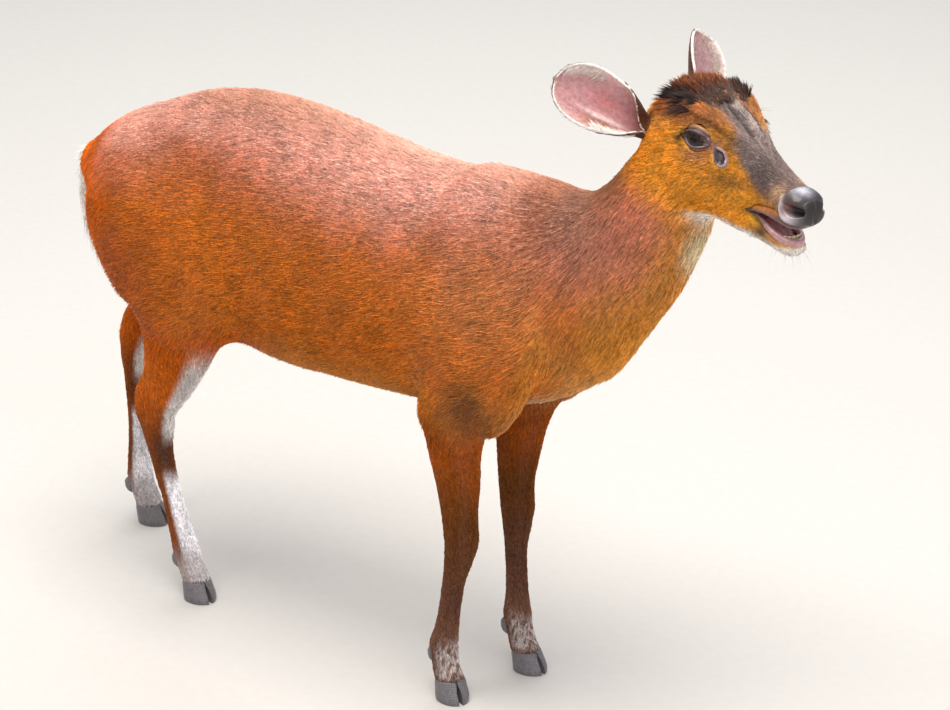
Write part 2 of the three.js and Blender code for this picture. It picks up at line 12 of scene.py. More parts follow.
import bmesh
import bpy
import mathutils.kdtree
import numpy as np
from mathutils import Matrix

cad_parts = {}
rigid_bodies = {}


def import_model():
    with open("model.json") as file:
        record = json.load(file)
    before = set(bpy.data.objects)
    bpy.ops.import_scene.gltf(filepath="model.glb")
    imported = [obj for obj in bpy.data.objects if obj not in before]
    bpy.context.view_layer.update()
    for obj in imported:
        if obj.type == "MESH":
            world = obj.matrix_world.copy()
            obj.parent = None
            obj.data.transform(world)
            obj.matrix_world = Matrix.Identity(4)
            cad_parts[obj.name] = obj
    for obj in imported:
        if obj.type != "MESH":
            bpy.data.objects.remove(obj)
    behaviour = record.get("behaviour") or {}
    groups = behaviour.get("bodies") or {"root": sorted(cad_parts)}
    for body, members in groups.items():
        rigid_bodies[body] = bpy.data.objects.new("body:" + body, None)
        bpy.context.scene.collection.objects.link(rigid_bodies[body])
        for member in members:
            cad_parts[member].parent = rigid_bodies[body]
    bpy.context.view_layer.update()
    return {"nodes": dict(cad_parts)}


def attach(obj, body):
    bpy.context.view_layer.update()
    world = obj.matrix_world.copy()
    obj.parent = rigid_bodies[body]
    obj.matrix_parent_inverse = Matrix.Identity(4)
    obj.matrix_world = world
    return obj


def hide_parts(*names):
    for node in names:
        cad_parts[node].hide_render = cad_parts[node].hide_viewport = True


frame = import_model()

import openvdb

SIDES = ((-1, "right"), (1, "left"))
MM = 0.001
ORIGIN = np.array([23.6, -5.0, 0.0])  # from the tables' zero to the frame's
rng = np.random.default_rng(12)

# %% [markdown]
# The camera comes first, because it decides how fine each thing has to be. It looks slightly down
# from her right front, with a long lens, as the photograph does: one pixel is about one millimetre.

# %% Camera
VIEW_TARGET = np.array([0.0236, 0.049, 0.300])
VIEW_AZIMUTH = math.radians(38)  # from her nose towards her right side
VIEW_ELEVATION = math.radians(22)
VIEW_DISTANCE = 3.2
FOCAL_PIXELS = 3368
IMAGE_WIDTH = 950

to_camera = np.array([math.cos(VIEW_ELEVATION) * math.sin(VIEW_AZIMUTH),
                      -math.cos(VIEW_ELEVATION) * math.cos(VIEW_AZIMUTH),
                      math.sin(VIEW_ELEVATION)])
camera = bpy.data.objects.new("camera", bpy.data.cameras.new("camera"))
camera.data.sensor_width = 36
camera.data.lens = FOCAL_PIXELS / IMAGE_WIDTH * 36
camera.location = VIEW_TARGET + VIEW_DISTANCE * to_camera
camera.rotation_euler = (math.pi / 2 - VIEW_ELEVATION, 0, VIEW_AZIMUTH)
bpy.context.collection.objects.link(camera)
bpy.context.scene.camera = camera
print("camera at", [round(c, 3) for c in camera.location])

# %% [markdown]
# Three small helpers serve every piece. One turns a hex colour into the linear light that shaders
# work in. One adds a shader node with its settings and links. One puts points and faces, computed
# as whole arrays, into a mesh and makes it a piece of the animal that rides on its one body.

# %% Helpers for colours, nodes and pieces
def linear(code):
    """Each channel c of an sRGB hex colour becomes ((c + 0.055) / 1.055) to the power 2.4."""
    srgb = np.array([int(code[i:i + 2], 16) for i in (1, 3, 5)]) / 255
    return np.where(srgb <= 0.04045, srgb / 12.92, ((srgb + 0.055) / 1.055) ** 2.4)


def plain(code, count):
    """One hex colour for each of many points."""
    return np.repeat(linear(code)[None], count, 0)


def rgba(code):
    """A hex colour as four linear numbers."""
    return (*linear(code), 1.0)


def add_node(tree, kind, links=(), **settings):
    """Adds one shader node: settings by name go on it, and links fill or link its sockets."""
    node = tree.nodes.new("ShaderNode" + kind)
    for key, value in settings.items():
        setattr(node, key, value)
    for socket, value in dict(links).items():
        if isinstance(value, bpy.types.NodeSocket):
            tree.links.new(value, node.inputs[socket])
        else:
            node.inputs[socket].default_value = value
    return node


def new_material(name, **sockets):
    """A material whose Principled shader takes the given sockets; returns it, its tree and shader."""
    material = bpy.data.materials.new(name)
    material.use_nodes = True
    tree = material.node_tree
    shader = tree.nodes["Principled BSDF"]
    for key, value in sockets.items():
        shader.inputs[key.replace("_", " ")].default_value = value
    return material, tree, shader


def add_mesh(name, points, faces, smooth=True, attributes=(), uv=None):
    """Puts points in millimetres and a list of face arrays (n by 3 or 4) into a new mesh object."""
    faces = [np.asarray(block, dtype=np.int32) for block in faces if len(block)]
    corners = np.concatenate([block.ravel() for block in faces])
    totals = np.concatenate([np.full(len(block), block.shape[1]) for block in faces])
    mesh = bpy.data.meshes.new(name)
    mesh.vertices.add(len(points))
    placed = ((points + ORIGIN) * MM).astype(np.float32)
    mesh.vertices.foreach_set("co", placed.ravel())
    mesh.loops.add(len(corners))
    mesh.loops.foreach_set("vertex_index", corners)
    mesh.polygons.add(len(totals))
    mesh.polygons.foreach_set("loop_start", np.concatenate([[0], np.cumsum(totals)[:-1]]))
    mesh.polygons.foreach_set("loop_total", totals)
    mesh.polygons.foreach_set("use_smooth", np.full(len(totals), smooth))
    for key, values in dict(attributes).items():
        wide = values.shape[1] == 4
        layer = mesh.attributes.new(key, "FLOAT_COLOR" if wide else "FLOAT_VECTOR", "POINT")
        layer.data.foreach_set("color" if wide else "vector", values.astype(np.float32).ravel())
    if uv is not None:
        layer = mesh.uv_layers.new(name="OFBake")
        layer.data.foreach_set("uv", uv[corners].astype(np.float32).ravel())
    mesh.update()
    mesh.validate()
    piece = bpy.data.objects.new(name, mesh)
    bpy.context.collection.objects.link(piece)
    return piece


def repeated(faces, count, corners):
    """The faces of one small form, again for each of many with the same number of corners."""
    return (np.arange(count)[:, None, None] * corners + faces[None]).reshape(-1, faces.shape[1])


def add_piece(name, points, faces, material, slot, **options):
    """A mesh object with its material and its ride on the body; the slot is not used."""
    piece = add_mesh(name, points, faces, **options)
    piece.data.materials.append(material)
    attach(piece, "root")
    triangles = sum(len(block) * (block.shape[1] - 2) for block in map(np.asarray, faces) if len(block))
    print(f"{name}: {len(points)} points, {triangles} triangles")
    return piece

# %% [markdown]
# The body is described by a few tables, the same as those of the solids. A row gives where a limb's
# middle is and how far its surface lies from it to the front, back and side. A smooth curve through
# the rows and a ring of points round each station make a loft, the plainest way to get a long bent
# form whose girth changes.

# %% Tables of the trunk and neck
# Trunk: x, top, bottom, half width
TRUNK = [
    (-425, 449, 398, 32), (-407, 466, 378, 48), (-378, 485, 352, 62), (-335, 503, 322, 74),
    (-285, 522, 299, 80), (-225, 533, 277, 83), (-165, 532, 269, 88), (-105, 524, 271, 91),
    (-45, 514, 273, 92), (15, 510, 277, 88), (70, 512, 286, 78), (115, 512, 300, 66),
    (155, 500, 320, 54), (188, 480, 344, 42),
]
# Neck: centre x, y, z, then half depth towards the nape, towards the throat, half width
NECK = [
    (60, 0, 420, 84, 94, 70), (110, 0, 425, 80, 102, 64), (158, 1, 446, 66, 95, 55),
    (196, 3, 474, 50, 81, 46), (226, 5, 508, 41, 68, 40), (248, 8, 544, 37, 56, 36),
    (262, 10, 572, 33, 44, 33),
]

# %% Tables of the legs
# Half sizes front, back, side from the shoulder blade or hip to the coronet, then each leg's centres
FORELEG_SIZES = [
    (26, 28, 12), (48, 48, 20), (60, 60, 23), (54, 56, 25), (40, 42, 24), (30, 31, 20),
    (23.5, 24, 17.5), (18.5, 19.5, 15.5), (17, 16.5, 15), (14.5, 14, 13.5), (11, 11.5, 11),
    (10.2, 11, 10.5), (11, 12, 11.5), (13, 14.5, 13), (12.5, 13, 13), (13.5, 13, 13.5), (14, 13, 13.5),
]
HINDLEG_SIZES = [
    (40, 40, 18), (78, 71, 25), (94, 68, 29), (84, 52, 28), (60, 36, 24), (41, 30, 20),
    (29, 27, 16.5), (22, 28, 14.5), (19, 20, 14), (13.5, 13.5, 12), (11.2, 11.5, 10.5),
    (11, 11.5, 10.5), (12, 13, 12), (13, 14.5, 13), (12.5, 13, 13), (13.5, 13, 13.5), (14, 13, 13.5),
]
LEG_CENTRES = {
    "fore_right": [
        (104, -34, 466), (100, -52, 420), (98, -60, 368), (84, -60, 325), (67, -59, 293),
        (64, -58, 260), (67, -57, 225), (69, -57, 195), (70, -57, 168), (67, -57, 148),
        (62, -57, 124), (58, -57, 98), (54, -57, 74), (51, -57, 55), (51, -57, 41), (53, -57, 28),
        (57, -57, 17),
    ],
    "fore_left": [
        (104, 34, 466), (100, 52, 420), (98, 58, 368), (86, 54, 325), (72, 47, 293), (66, 42, 260),
        (64, 39, 225), (63, 38, 195), (64, 37, 168), (64, 37, 148), (64, 36, 124), (65, 36, 98),
        (66, 36, 74), (67, 36, 55), (69, 36, 41), (73, 35, 28), (78, 35, 17),
    ],
    "hind_right": [
        (-325, -36, 450), (-322, -55, 408), (-306, -60, 365), (-288, -62, 325), (-287, -60, 290),
        (-295, -56, 255), (-308, -51, 225), (-321, -48, 198), (-323, -46, 176), (-320, -46, 152),
        (-312, -46, 120), (-303, -46, 90), (-295, -46, 66), (-289, -46, 49), (-286, -46, 38),
        (-281, -46, 27), (-277, -46, 17),
    ],
    "hind_left": [
        (-330, 36, 450), (-332, 55, 408), (-328, 62, 365), (-326, 65, 328), (-346, 64, 296),
        (-380, 63, 270), (-412, 62, 247), (-440, 61, 222), (-451, 60, 194), (-453, 60, 164),
        (-453, 60, 126), (-453, 60, 93), (-453, 60, 68), (-452, 60, 50), (-450, 60, 39),
        (-445, 60, 28), (-441, 60, 17),
    ],
}
LEGS = {
    name: np.hstack([centres, FORELEG_SIZES if name.startswith("fore") else HINDLEG_SIZES])
    for name, centres in LEG_CENTRES.items()
}
print("legs from", {name: rows[0, 2] for name, rows in LEGS.items()}, "down to", LEGS["fore_left"][-1, 2])

# %% [markdown]
# The head has a frame of its own: u forwards along the muzzle, v to her left and w up, measured from
# the point midway between her eyes. It is turned to her right and lifted a little.

# %% Tables of the head
HEAD_AT = np.array([308, 11, 594])
HEAD_YAW = math.radians(-17.5)
HEAD_PITCH = math.radians(3.2)
# Skull and upper muzzle, jaw: u, top, bottom, half width, squareness
SKULL = [
    (-82, 18, -30, 27, 2.1), (-66, 29, -48, 35, 2.2), (-46, 36, -60, 39, 2.3),
    (-26, 38, -68, 40, 2.4), (-8, 34, -72, 39, 2.4), (10, 24, -74, 35, 2.3), (26, 13, -75, 30, 2.2),
    (40, 4, -70, 26, 2.2), (50, -3, -57, 23.5, 2.2), (60, -10, -49.5, 21.5, 2.2),
    (72, -16, -50, 19.5, 2.2), (83, -20.5, -52, 18.2, 2.2), (93, -24.5, -54.5, 17.5, 2.2),
    (101, -27, -55, 16, 2.2),
]
JAW = [
    (10, -50, -72, 20, 2.2), (36, -50, -78, 22, 2.2), (50, -50, -80, 19.5, 2.2),
    (60, -56, -82, 17, 2.2), (73, -63, -84.5, 15.2, 2.2), (84, -69, -87, 13.5, 2.2),
    (91, -72, -87, 11.5, 2.2),
]
# Ridge of bone over each eye: u, v, w, up, down, across
BROW = [
    (-34, 27, 22, 3, 3, 4), (-20, 26, 28, 4.5, 5, 6), (-6, 24, 26.5, 5, 5, 8), (12, 19, 18, 4.5, 5, 7),
    (30, 13, 6.5, 4, 4, 6), (46, 8, -5, 2.5, 3, 4),
]
yaw_turn = np.array([[math.cos(HEAD_YAW), -math.sin(HEAD_YAW), 0],
                     [math.sin(HEAD_YAW), math.cos(HEAD_YAW), 0], [0, 0, 1]])
pitch_turn = np.array([[math.cos(HEAD_PITCH), 0, -math.sin(HEAD_PITCH)], [0, 1, 0],
                       [math.sin(HEAD_PITCH), 0, math.cos(HEAD_PITCH)]])
HEAD_TURN = yaw_turn @ pitch_turn


def on_head(points):
    """A point of the head's frame in the body's: the head's turn times it, plus the head's place."""
    return np.asarray(points, float) @ HEAD_TURN.T + HEAD_AT


def turn_on_head(directions):
    """A direction of the head's frame in the body's."""
    return np.asarray(directions, float) @ HEAD_TURN.T


def in_head(points):
    """A point of the body's frame in the head's."""
    return (np.asarray(points, float) - HEAD_AT) @ HEAD_TURN


print("nose tip at", np.round(on_head([115, 0, -42]), 1))

# %% [markdown]
# The loft itself is two short functions. The first reads a table between its rows, on the curve that
# Catmull and Rom gave. The second lays a ring of points round every station and closes the ends
# with domes. Both work on whole arrays.

# %% Lofts
def unit(vectors):
    """Vectors over their lengths."""
    return vectors / np.maximum(np.linalg.norm(vectors, axis=-1, keepdims=True), 1e-9)


def rows_at(rows, t):
    """Row i, and past it f times half of (slope + f times the curve's two higher terms)."""
    rows = np.asarray(rows, float)
    t = np.atleast_1d(np.asarray(t, float))
    i = np.clip(np.floor(t).astype(int), 0, len(rows) - 2)
    f = (t - i)[:, None]
    p0, p1, p2, p3 = (rows[np.clip(i + k, 0, len(rows) - 1)] for k in (-1, 0, 1, 2))
    return p1 + 0.5 * f * (p2 - p0 + f * (2 * p0 - 5 * p1 + 4 * p2 - p3 + f * (3 * (p1 - p2) + p3 - p0)))


def level_rows(rows):
    """Rows of station, top, bottom, half width as centre and half sizes on a level line."""
    rows = np.asarray(rows, float)
    half = (rows[:, 1] - rows[:, 2]) / 2
    middle = (rows[:, 1] + rows[:, 2]) / 2
    return np.column_stack([rows[:, 0], 0 * half, middle, half, half, rows[:, 3:]])


def loft(rows, hint=(0, 0, 1), sides=48, steps=6, domes=(0, 0), facing=None):
    """Rings by stations: centre + cos^(2/p) * half along the hint + sin^(2/p) * half across."""
    rows = np.asarray(rows, float)
    if rows.shape[1] == 6:
        rows = np.column_stack([rows, np.full(len(rows), 2.0)])
    table = rows_at(rows, np.linspace(0, len(rows) - 1, (len(rows) - 1) * steps + 1))
    centre = table[:, :3]
    tangent = unit(np.gradient(centre, axis=0))
    if facing is not None:
        tangent = np.broadcast_to(np.asarray(facing, float), centre.shape)
    scale = np.ones(len(table))
    arc = np.sin(np.linspace(0, np.pi / 2, 8)[1:]) * 0.999
    for end, length, order in ((0, domes[0], -1), (-1, domes[1], 1)):
        if length:
            shift = order * length * arc[:, None] * tangent[end]
            extra = [centre[end] + shift, np.repeat(tangent[end][None], 7, 0), np.sqrt(1 - arc ** 2),
                     np.repeat(table[end][None], 7, 0)]
            if order < 0:
                extra = [block[::-1] for block in extra]
            parts = list(zip((centre, tangent, scale, table), extra))
            joined = [np.concatenate([new, old] if order < 0 else [old, new]) for old, new in parts]
            centre, tangent, scale, table = joined
    along = unit(np.asarray(hint, float) - (tangent @ np.asarray(hint, float))[:, None] * tangent)
    across = np.cross(tangent, along)
    angle = np.linspace(0, 2 * np.pi, sides, endpoint=False)
    cosine, sine = np.cos(angle)[None], np.sin(angle)[None]
    power = 2 / table[:, 6:7]
    half = np.where(cosine > 0, table[:, 3:4], table[:, 4:5]) * scale[:, None]
    a = np.sign(cosine) * np.abs(cosine) ** power * half
    b = np.sign(sine) * np.abs(sine) ** power * table[:, 5:6] * scale[:, None]
    return centre[:, None] + a[..., None] * along[:, None] + b[..., None] * across[:, None]


# %% Faces of a ring grid
def grid_faces(rings, sides, closed=True):
    """Quads between neighbours on a grid of rings by sides, going round where it is closed."""
    i, j = np.meshgrid(np.arange(rings - 1), np.arange(sides if closed else sides - 1), indexing="ij")
    near, far = i * sides, (i + 1) * sides
    k = (j + 1) % sides
    return np.stack([near + j, near + k, far + k, far + j], -1).reshape(-1, 4)


def closed_surface(grid):
    """A ring grid as points, quads and two end fans, turned so that its volume is positive."""
    rings, sides = grid.shape[:2]
    points = np.vstack([grid.reshape(-1, 3), grid[0].mean(0), grid[-1].mean(0)])
    quads = grid_faces(rings, sides)
    j = np.arange(sides)
    k = (j + 1) % sides
    first, last = rings * sides, (rings - 1) * sides
    fans = np.vstack([np.column_stack([np.full(sides, first), k, j]),
                      np.column_stack([np.full(sides, first + 1), last + j, last + k])])
    if enclosed(points, quads, fans) < 0:
        quads, fans = quads[:, ::-1], fans[:, ::-1]
    return points, quads, fans


def enclosed(points, quads, triangles):
    """Six times the volume: the sum over triangles of a dot (b cross c)."""
    split = np.vstack([triangles, quads[:, [0, 1, 2]], quads[:, [0, 2, 3]]]) if len(quads) else triangles
    a, b, c = (points[split[:, k]] for k in range(3))
    return np.einsum("ij,ij->i", a, np.cross(b, c)).sum()


# %% Forms of the body
FORE = (1, 0, 0)
shapes = {
    "trunk": closed_surface(loft(level_rows(TRUNK), domes=(16, 22), facing=FORE, sides=64)),
    "neck": closed_surface(loft(NECK, hint=(-1, 0, 1), domes=(0, 20), sides=64)),
}
for name, rows in LEGS.items():
    shapes[name] = closed_surface(loft(rows, hint=FORE))
head_lofts = (("skull", SKULL, (14, 6)), ("jaw_hinge", JAW[:3], (8, 0)), ("jaw", JAW[2:], (0, 6)))
for name, rows, domes in head_lofts:
    grid = loft(level_rows(rows), domes=domes, facing=FORE)
    shapes[name] = closed_surface(on_head(grid))
for side, word in SIDES:
    rows = np.array(BROW) * (1, side, 1, 1, 1, 1)
    shapes["brow_" + word] = closed_surface(on_head(loft(rows, sides=20, domes=(4, 3))))
print("forms of the body:", ", ".join(shapes))

# %% [markdown]
# Lofts laid into each other would leave hard creases, so the skin is made from distances instead.
# Each form becomes a block of numbers that say how far every point of space is from its surface,
# less than nothing inside. The smaller of two such numbers joins two forms, and rounding that
# choice off fills the crease between them as muscle and loose skin do. Muscles, bony points and
# hollows are then added as soft swellings of the same numbers, and the surface is read off again.

# %% Distances to the forms
SMOOTH_JOIN = {
    "trunk": 1, "neck": 34, "fore_right": 18, "fore_left": 18, "hind_right": 34, "hind_left": 34,
    "skull": 16, "jaw_hinge": 8, "jaw": 5, "brow_right": 6, "brow_left": 6,
}  # how wide the crease is filled where a form meets those before it, in millimetres


def block_index(low, high, voxel):
    """The lowest index and the size of the block of cells that spans a box."""
    first = np.floor(np.asarray(low) / voxel).astype(int)
    return first, np.ceil(np.asarray(high) / voxel).astype(int) - first + 1


def places(first, size, voxel):
    """The coordinates of a block's cells, as three thin arrays that spread over each other."""
    axes = [(first[k] + np.arange(size[k])) * voxel for k in range(3)]
    return [axis.reshape([-1 if n == k else 1 for n in range(3)]).astype(np.float32)
            for k, axis in enumerate(axes)]


def joined(a, b, width):
    """The smaller of two distances, less (width - difference) squared over 4 width near a tie."""
    close = np.maximum(width - np.abs(a - b), 0)
    return np.minimum(a, b) - close * close / (4 * width)


def distance_to(shape, first, size, voxel, reach=8.0):
    """A block of distances to one closed surface."""
    points, quads, fans = shape
    level = openvdb.FloatGrid.createLevelSetFromPolygons(
        points.astype(np.float32), triangles=fans.astype(np.uint32), quads=quads.astype(np.uint32),
        transform=openvdb.createLinearTransform(voxelSize=voxel), halfWidth=reach / voxel)
    part = np.empty(size, np.float32)
    level.copyToArray(part, ijk=tuple(int(n) for n in first))
    return part


def distances(low, high, voxel, names, reach):
    """A block of joined distances over a box, with the index of its first cell."""
    first, size = block_index(low, high, voxel)
    block = np.full(size, reach, np.float32)
    for name in names:
        points = shapes[name][0]
        inner, inner_size = block_index(points.min(0) - reach, points.max(0) + reach, voxel)
        start = np.maximum(inner, first)
        end = np.minimum(inner + inner_size, first + size)
        if (end <= start).any():
            continue
        part = distance_to(shapes[name], start, end - start, voxel, reach)
        window = tuple(slice(s - f, e - f) for s, e, f in zip(start, end, first))
        block[window] = joined(block[window], part, SMOOTH_JOIN[name])
    return block, first


def swell(block, first, voxel, centre, radii, height, turn=None):
    """Takes height * exp(-|(p - centre) / radii| squared) from the distances round a centre."""
    reach = 2.3 * (np.max(radii) if turn is not None else np.asarray(radii, float))
    size = np.array(block.shape)
    start = np.clip(np.floor((centre - reach) / voxel).astype(int) - first, 0, size)
    end = np.clip(np.ceil((centre + reach) / voxel).astype(int) + 1 - first, 0, size)
    if (end <= start).any():
        return
    x, y, z = places(first + start, end - start, voxel)
    offset = [x - centre[0], y - centre[1], z - centre[2]]
    if turn is not None:
        offset = [sum(offset[k] * turn[k, n] for k in range(3)) for n in range(3)]
    power = sum((offset[k] / radii[k]) ** 2 for k in range(3))
    window = tuple(slice(s, e) for s, e in zip(start, end))
    block[window] -= height * np.exp(-power)


# %% Surface of a block
def surface_of(block, first, voxel, level=0.0):
    """The surface where the distances equal the level, as points and quads facing outwards."""
    grid = openvdb.FloatGrid(float(block.max()))
    grid.transform = openvdb.createLinearTransform(voxelSize=voxel)
    grid.copyFromArray(block, ijk=tuple(int(n) for n in first))
    points, quads = grid.convertToQuads(isovalue=level)
    if enclosed(points.astype(float), quads, np.zeros((0, 3), int)) < 0:
        quads = quads[:, ::-1]
    return points.astype(float), quads


def ramp(value, low, high):
    """0 below low, 1 above high, and 3t squared less 2t cubed between."""
    t = np.clip((value - low) / (high - low), 0, 1)
    return t * t * (3 - 2 * t)

# %% Muscles, bony points and hollows
# Centre, radii and height of each soft swelling (height below nothing is a hollow), for her left side
BODY_FORMS = [
    ((118, 50, 430), (24, 16, 60), 2.5),  # ridge of the shoulder blade
    ((141, 48, 368), (20, 16, 22), 4.0),  # point of the shoulder
    ((64, 72, 372), (36, 20, 44), 4.0),  # triceps
    ((14, 84, 352), (24, 18, 58), -4.0),  # hollow behind the elbow
    ((60, 78, 455), (30, 18, 34), -2.0),  # hollow behind the shoulder blade
    ((-226, 82, 462), (34, 18, 34), -4.0),  # hollow of the flank
    ((-236, 74, 330), (26, 26, 38), -4.0),  # fold from flank to stifle
    ((-258, 62, 496), (20, 18, 14), 2.5),  # point of the hip
    ((-330, 82, 402), (44, 18, 40), 3.0),  # thigh
    ((-392, 58, 388), (14, 14, 52), -3.0),  # groove behind the thigh
    ((-414, 24, 420), (16, 14, 14), 2.5),  # seat bone
    ((205, 34, 470), (46, 10, 14), -1.5),  # groove along the neck
    ((108, 26, 282), (24, 18, 16), -5.0),  # hollow between breast and foreleg
]
LEG_FORMS = {
    # row of the leg, share of its depth behind the middle, share of its width outwards, radii, height
    "fore": [
        (4, 0.72, 0.4, (12, 12, 13), 3.5),  # point of the elbow
        (5.2, -0.35, 0.8, (12, 10, 26), 1.5),  # muscle of the forearm
        (8, -0.8, 0.0, (9, 13, 11), 1.2),  # knee
        (10.2, 0.25, 0.9, (4, 6, 34), -1.6),  # groove before the tendons
        (10.2, 0.25, -0.9, (4, 6, 34), -1.6),
        (13, 0.9, 0.0, (7, 9, 8), 1.5),  # back of the fetlock
    ],
    "hind": [
        (2.4, -0.72, 0.5, (22, 16, 20), 3.0),  # stifle
        (6.2, 0.3, 0.95, (9, 7, 26), -4.5),  # hollow before the hamstring
        (6.2, 0.3, -0.95, (9, 7, 26), -4.5),
        (7.5, 0.95, 0.0, (8, 9, 9), 2.0),  # point of the hock
        (10.2, 0.25, 0.9, (4, 6, 36), -1.6),  # groove before the tendons
        (10.2, 0.25, -0.9, (4, 6, 36), -1.6),
        (13, 0.9, 0.0, (7, 9, 8), 1.5),  # back of the fetlock
    ],
}


def add_body_forms(block, first, voxel):
    """Swells each listed form on both sides, and each leg's forms round its own rows."""
    for (x, y, z), radii, height in BODY_FORMS:
        for side in (-1, 1):
            swell(block, first, voxel, np.array([x, side * y, z]), radii, height)
    for name, rows in LEGS.items():
        side = 1 if name.endswith("left") else -1
        for row, back, out, radii, height in LEG_FORMS[name.split("_")[0]]:
            x, y, z, front_half, back_half, across = rows_at(rows, row)[0]
            half = back_half if back > 0 else front_half
            centre = np.array([x - back * half, y + side * out * across, z])
            swell(block, first, voxel, centre, radii, height)


# %% [markdown]
# The coat stands on the skin, so the skin lies deeper than the solids: about 2.4 mm on the trunk, where
# the hair is longest, and under 1 mm on the face and the lower legs. In the head finer cells carry
# the cheek, the ridges of the forehead, the sockets, the gland before each eye and the open mouth.

# %% How deep the skin lies
TRUNK_DEPTH = 2.4
FACE_DEPTH = 0.7
EYE_RADIUS = 14.0
LID_THICKNESS = 1.2
SOCKET_GAP = 0.1
EYE_CENTRE = np.array([-3.0, 25.0, 1.0])


def depth_at(x, y, z):
    """The trunk's depth, falling to the face's down the legs and forwards along the head."""
    legs = ramp(z, 150, 300)
    along_head = (x - HEAD_AT[0]) * HEAD_TURN[0, 0] + (z - HEAD_AT[2]) * 0.6
    face = ramp(along_head, -95, -35)
    return FACE_DEPTH + (TRUNK_DEPTH - FACE_DEPTH) * legs * (1 - face)


# %% Forms of the head
HEAD_FORMS = [
    # u, v, w, radii, height: on both sides
    ((-22, 35, -42), (26, 12, 24), 3.0),  # jaw muscle
    ((18, 31, -14), (34, 8, 6), 1.8),  # cheekbone under the eye
    ((-30, 39, 10), (14, 9, 10), -1.5),  # hollow of the temple
    ((44, 25, -24), (22, 8, 14), -2.0),  # hollow of the muzzle's side
    ((62, 20, -44), (20, 6, 7), 1.8),  # upper lip's pad
    ((40, 20, -66), (14, 7, 8), 1.5),  # cheek behind the mouth's corner
    ((47, 24, -35), (18, 6, 4), -1.8),  # fold of the cheek over the mouth's corner
    ((-76, 28, -30), (14, 10, 26), -2.0),  # hollow behind the jaw
]
# The fold of the forehead and the slits beside it: u, v, w
FOREHEAD_RIDGE = [(4, 1, 27), (12, 4, 23), (20, 6, 17.5), (29, 5, 11), (38, 2, 5)]
FOREHEAD_SLITS = [[(9, -4, 24), (17, -2, 19), (25, -1, 13), (33, -2, 7)],
                  [(10, 10, 22), (18, 12, 16), (27, 10, 10), (34, 8, 5)]]
GLAND_FORMS = [((24.2, 29, -8.6), (11, 7, 12), 1.0), ((24.2, 29, -8.8), (6.2, 7, 7.4), -5.4)]

# Roof and floor of the mouth: u, top, bottom, half width, squareness; nostril: u, v, w, half sizes
PALATE = [(62, -49, -58, 9.5, 2), (74, -50, -62, 10.5, 2), (88, -53, -64, 9, 2)]
MOUTH_FLOOR = [(65, -51, -67, 11.5, 2), (71, -57, -73, 11.5, 2), (78, -62, -77, 10, 2),
               (86, -64, -80, 7.5, 2)]
NOSTRIL = [(97, 23, -36, 2.5, 2.5, 5), (104, 15, -40, 4.5, 5, 6), (109, 8.5, -41, 3, 3.5, 5)]
ALMOND = [(-6, 12, 0, 7, 7, 12, 2), (-1.5, 31, 1.5, 9, 8.5, 15.5, 2), (2, 46, 3, 11.5, 11, 18, 2)]
print(len(BODY_FORMS), "forms of the body,", len(HEAD_FORMS), "of the head")


# %% Carve the head
def almond_shape(side):
    """The opening between the lids: an almond lofted outwards through the eyeball."""
    rows = np.array(ALMOND) * (1, side, 1, 1, 1, 1, 1)
    return closed_surface(on_head(loft(rows, hint=(0.24, 0, 0.97), sides=32)))


def cut_away(block, part, width):
    """What is left of a block outside a part, with the edge rounded over the given width."""
    return -joined(-block, part, width)


def add_head_forms(block, first, voxel):
    """Swellings, ridges and slits of the face, then the sockets, glands, nostrils and mouth."""
    for (u, v, w), radii, height in HEAD_FORMS:
        for side in (-1, 1):
            swell(block, first, voxel, on_head([u, side * v, w]), radii, height, HEAD_TURN)
    lines = [(FOREHEAD_RIDGE, (6, 4.4, 4.5), 2.2)] + [(slit, (4, 1.7, 3), -1.4) for slit in FOREHEAD_SLITS]
    for path, radii, height in lines:
        for place in rows_at(path, np.linspace(0, len(path) - 1, 9)):
            swell(block, first, voxel, on_head(place), radii, height, HEAD_TURN)
    size = np.array(block.shape)
    x, y, z = places(first, size, voxel)
    for side in (-1, 1):
        centre = on_head(EYE_CENTRE * (1, side, 1))
        ball = np.sqrt((x - centre[0]) ** 2 + (y - centre[1]) ** 2 + (z - centre[2]) ** 2)
        block = joined(block, ball - (EYE_RADIUS + LID_THICKNESS), 5)
        block = cut_away(block, ball - (EYE_RADIUS + SOCKET_GAP), 0.4)
        block = cut_away(block, distance_to(almond_shape(side), first, size, voxel), 1.5)
        for (u, v, w), radii, height in GLAND_FORMS:
            swell(block, first, voxel, on_head([u, side * v, w]), radii, height, HEAD_TURN)
    for rows in (PALATE, MOUTH_FLOOR):
        grid = loft(level_rows(rows), domes=(4, 4), facing=FORE, sides=32)
        block = cut_away(block, distance_to(closed_surface(on_head(grid)), first, size, voxel), 2)
    for side in (-1, 1):
        rows = np.array(NOSTRIL) * (1, side, 1, 1, 1, 1) + (0, 0, 0, 1.5, 1.5, 1.5)
        shape = closed_surface(on_head(loft(rows, sides=24, domes=(3, 2))))
        block = cut_away(block, distance_to(shape, first, size, voxel), 1)
    return block


# %% Read off the skin
BODY_VOXEL = 3.75
HEAD_VOXEL = 1.4
REACH = 36.0  # at least the widest crease that is filled
ON_PLANE = 0.02  # how near a point counts as lying on the cut
BAND = 1.5  # width of the band that joins head and body


def skin_part(low, high, voxel, with_head_forms):
    """Distances over a box, with their forms and the coat's depth, read off as a surface."""
    block, first = distances(low, high, voxel, shapes, REACH)
    add_body_forms(block, first, voxel)
    if with_head_forms:
        block = add_head_forms(block, first, voxel)
    block = block + depth_at(*places(first, block.shape, voxel))
    return surface_of(block, first, voxel)


def read_back(items, key, width=1, kind=int):
    """One value, or a few, of each vertex, corner or face of a mesh as an array."""
    values = np.empty(len(items) * width, kind)
    items.foreach_get(key, values)
    return values


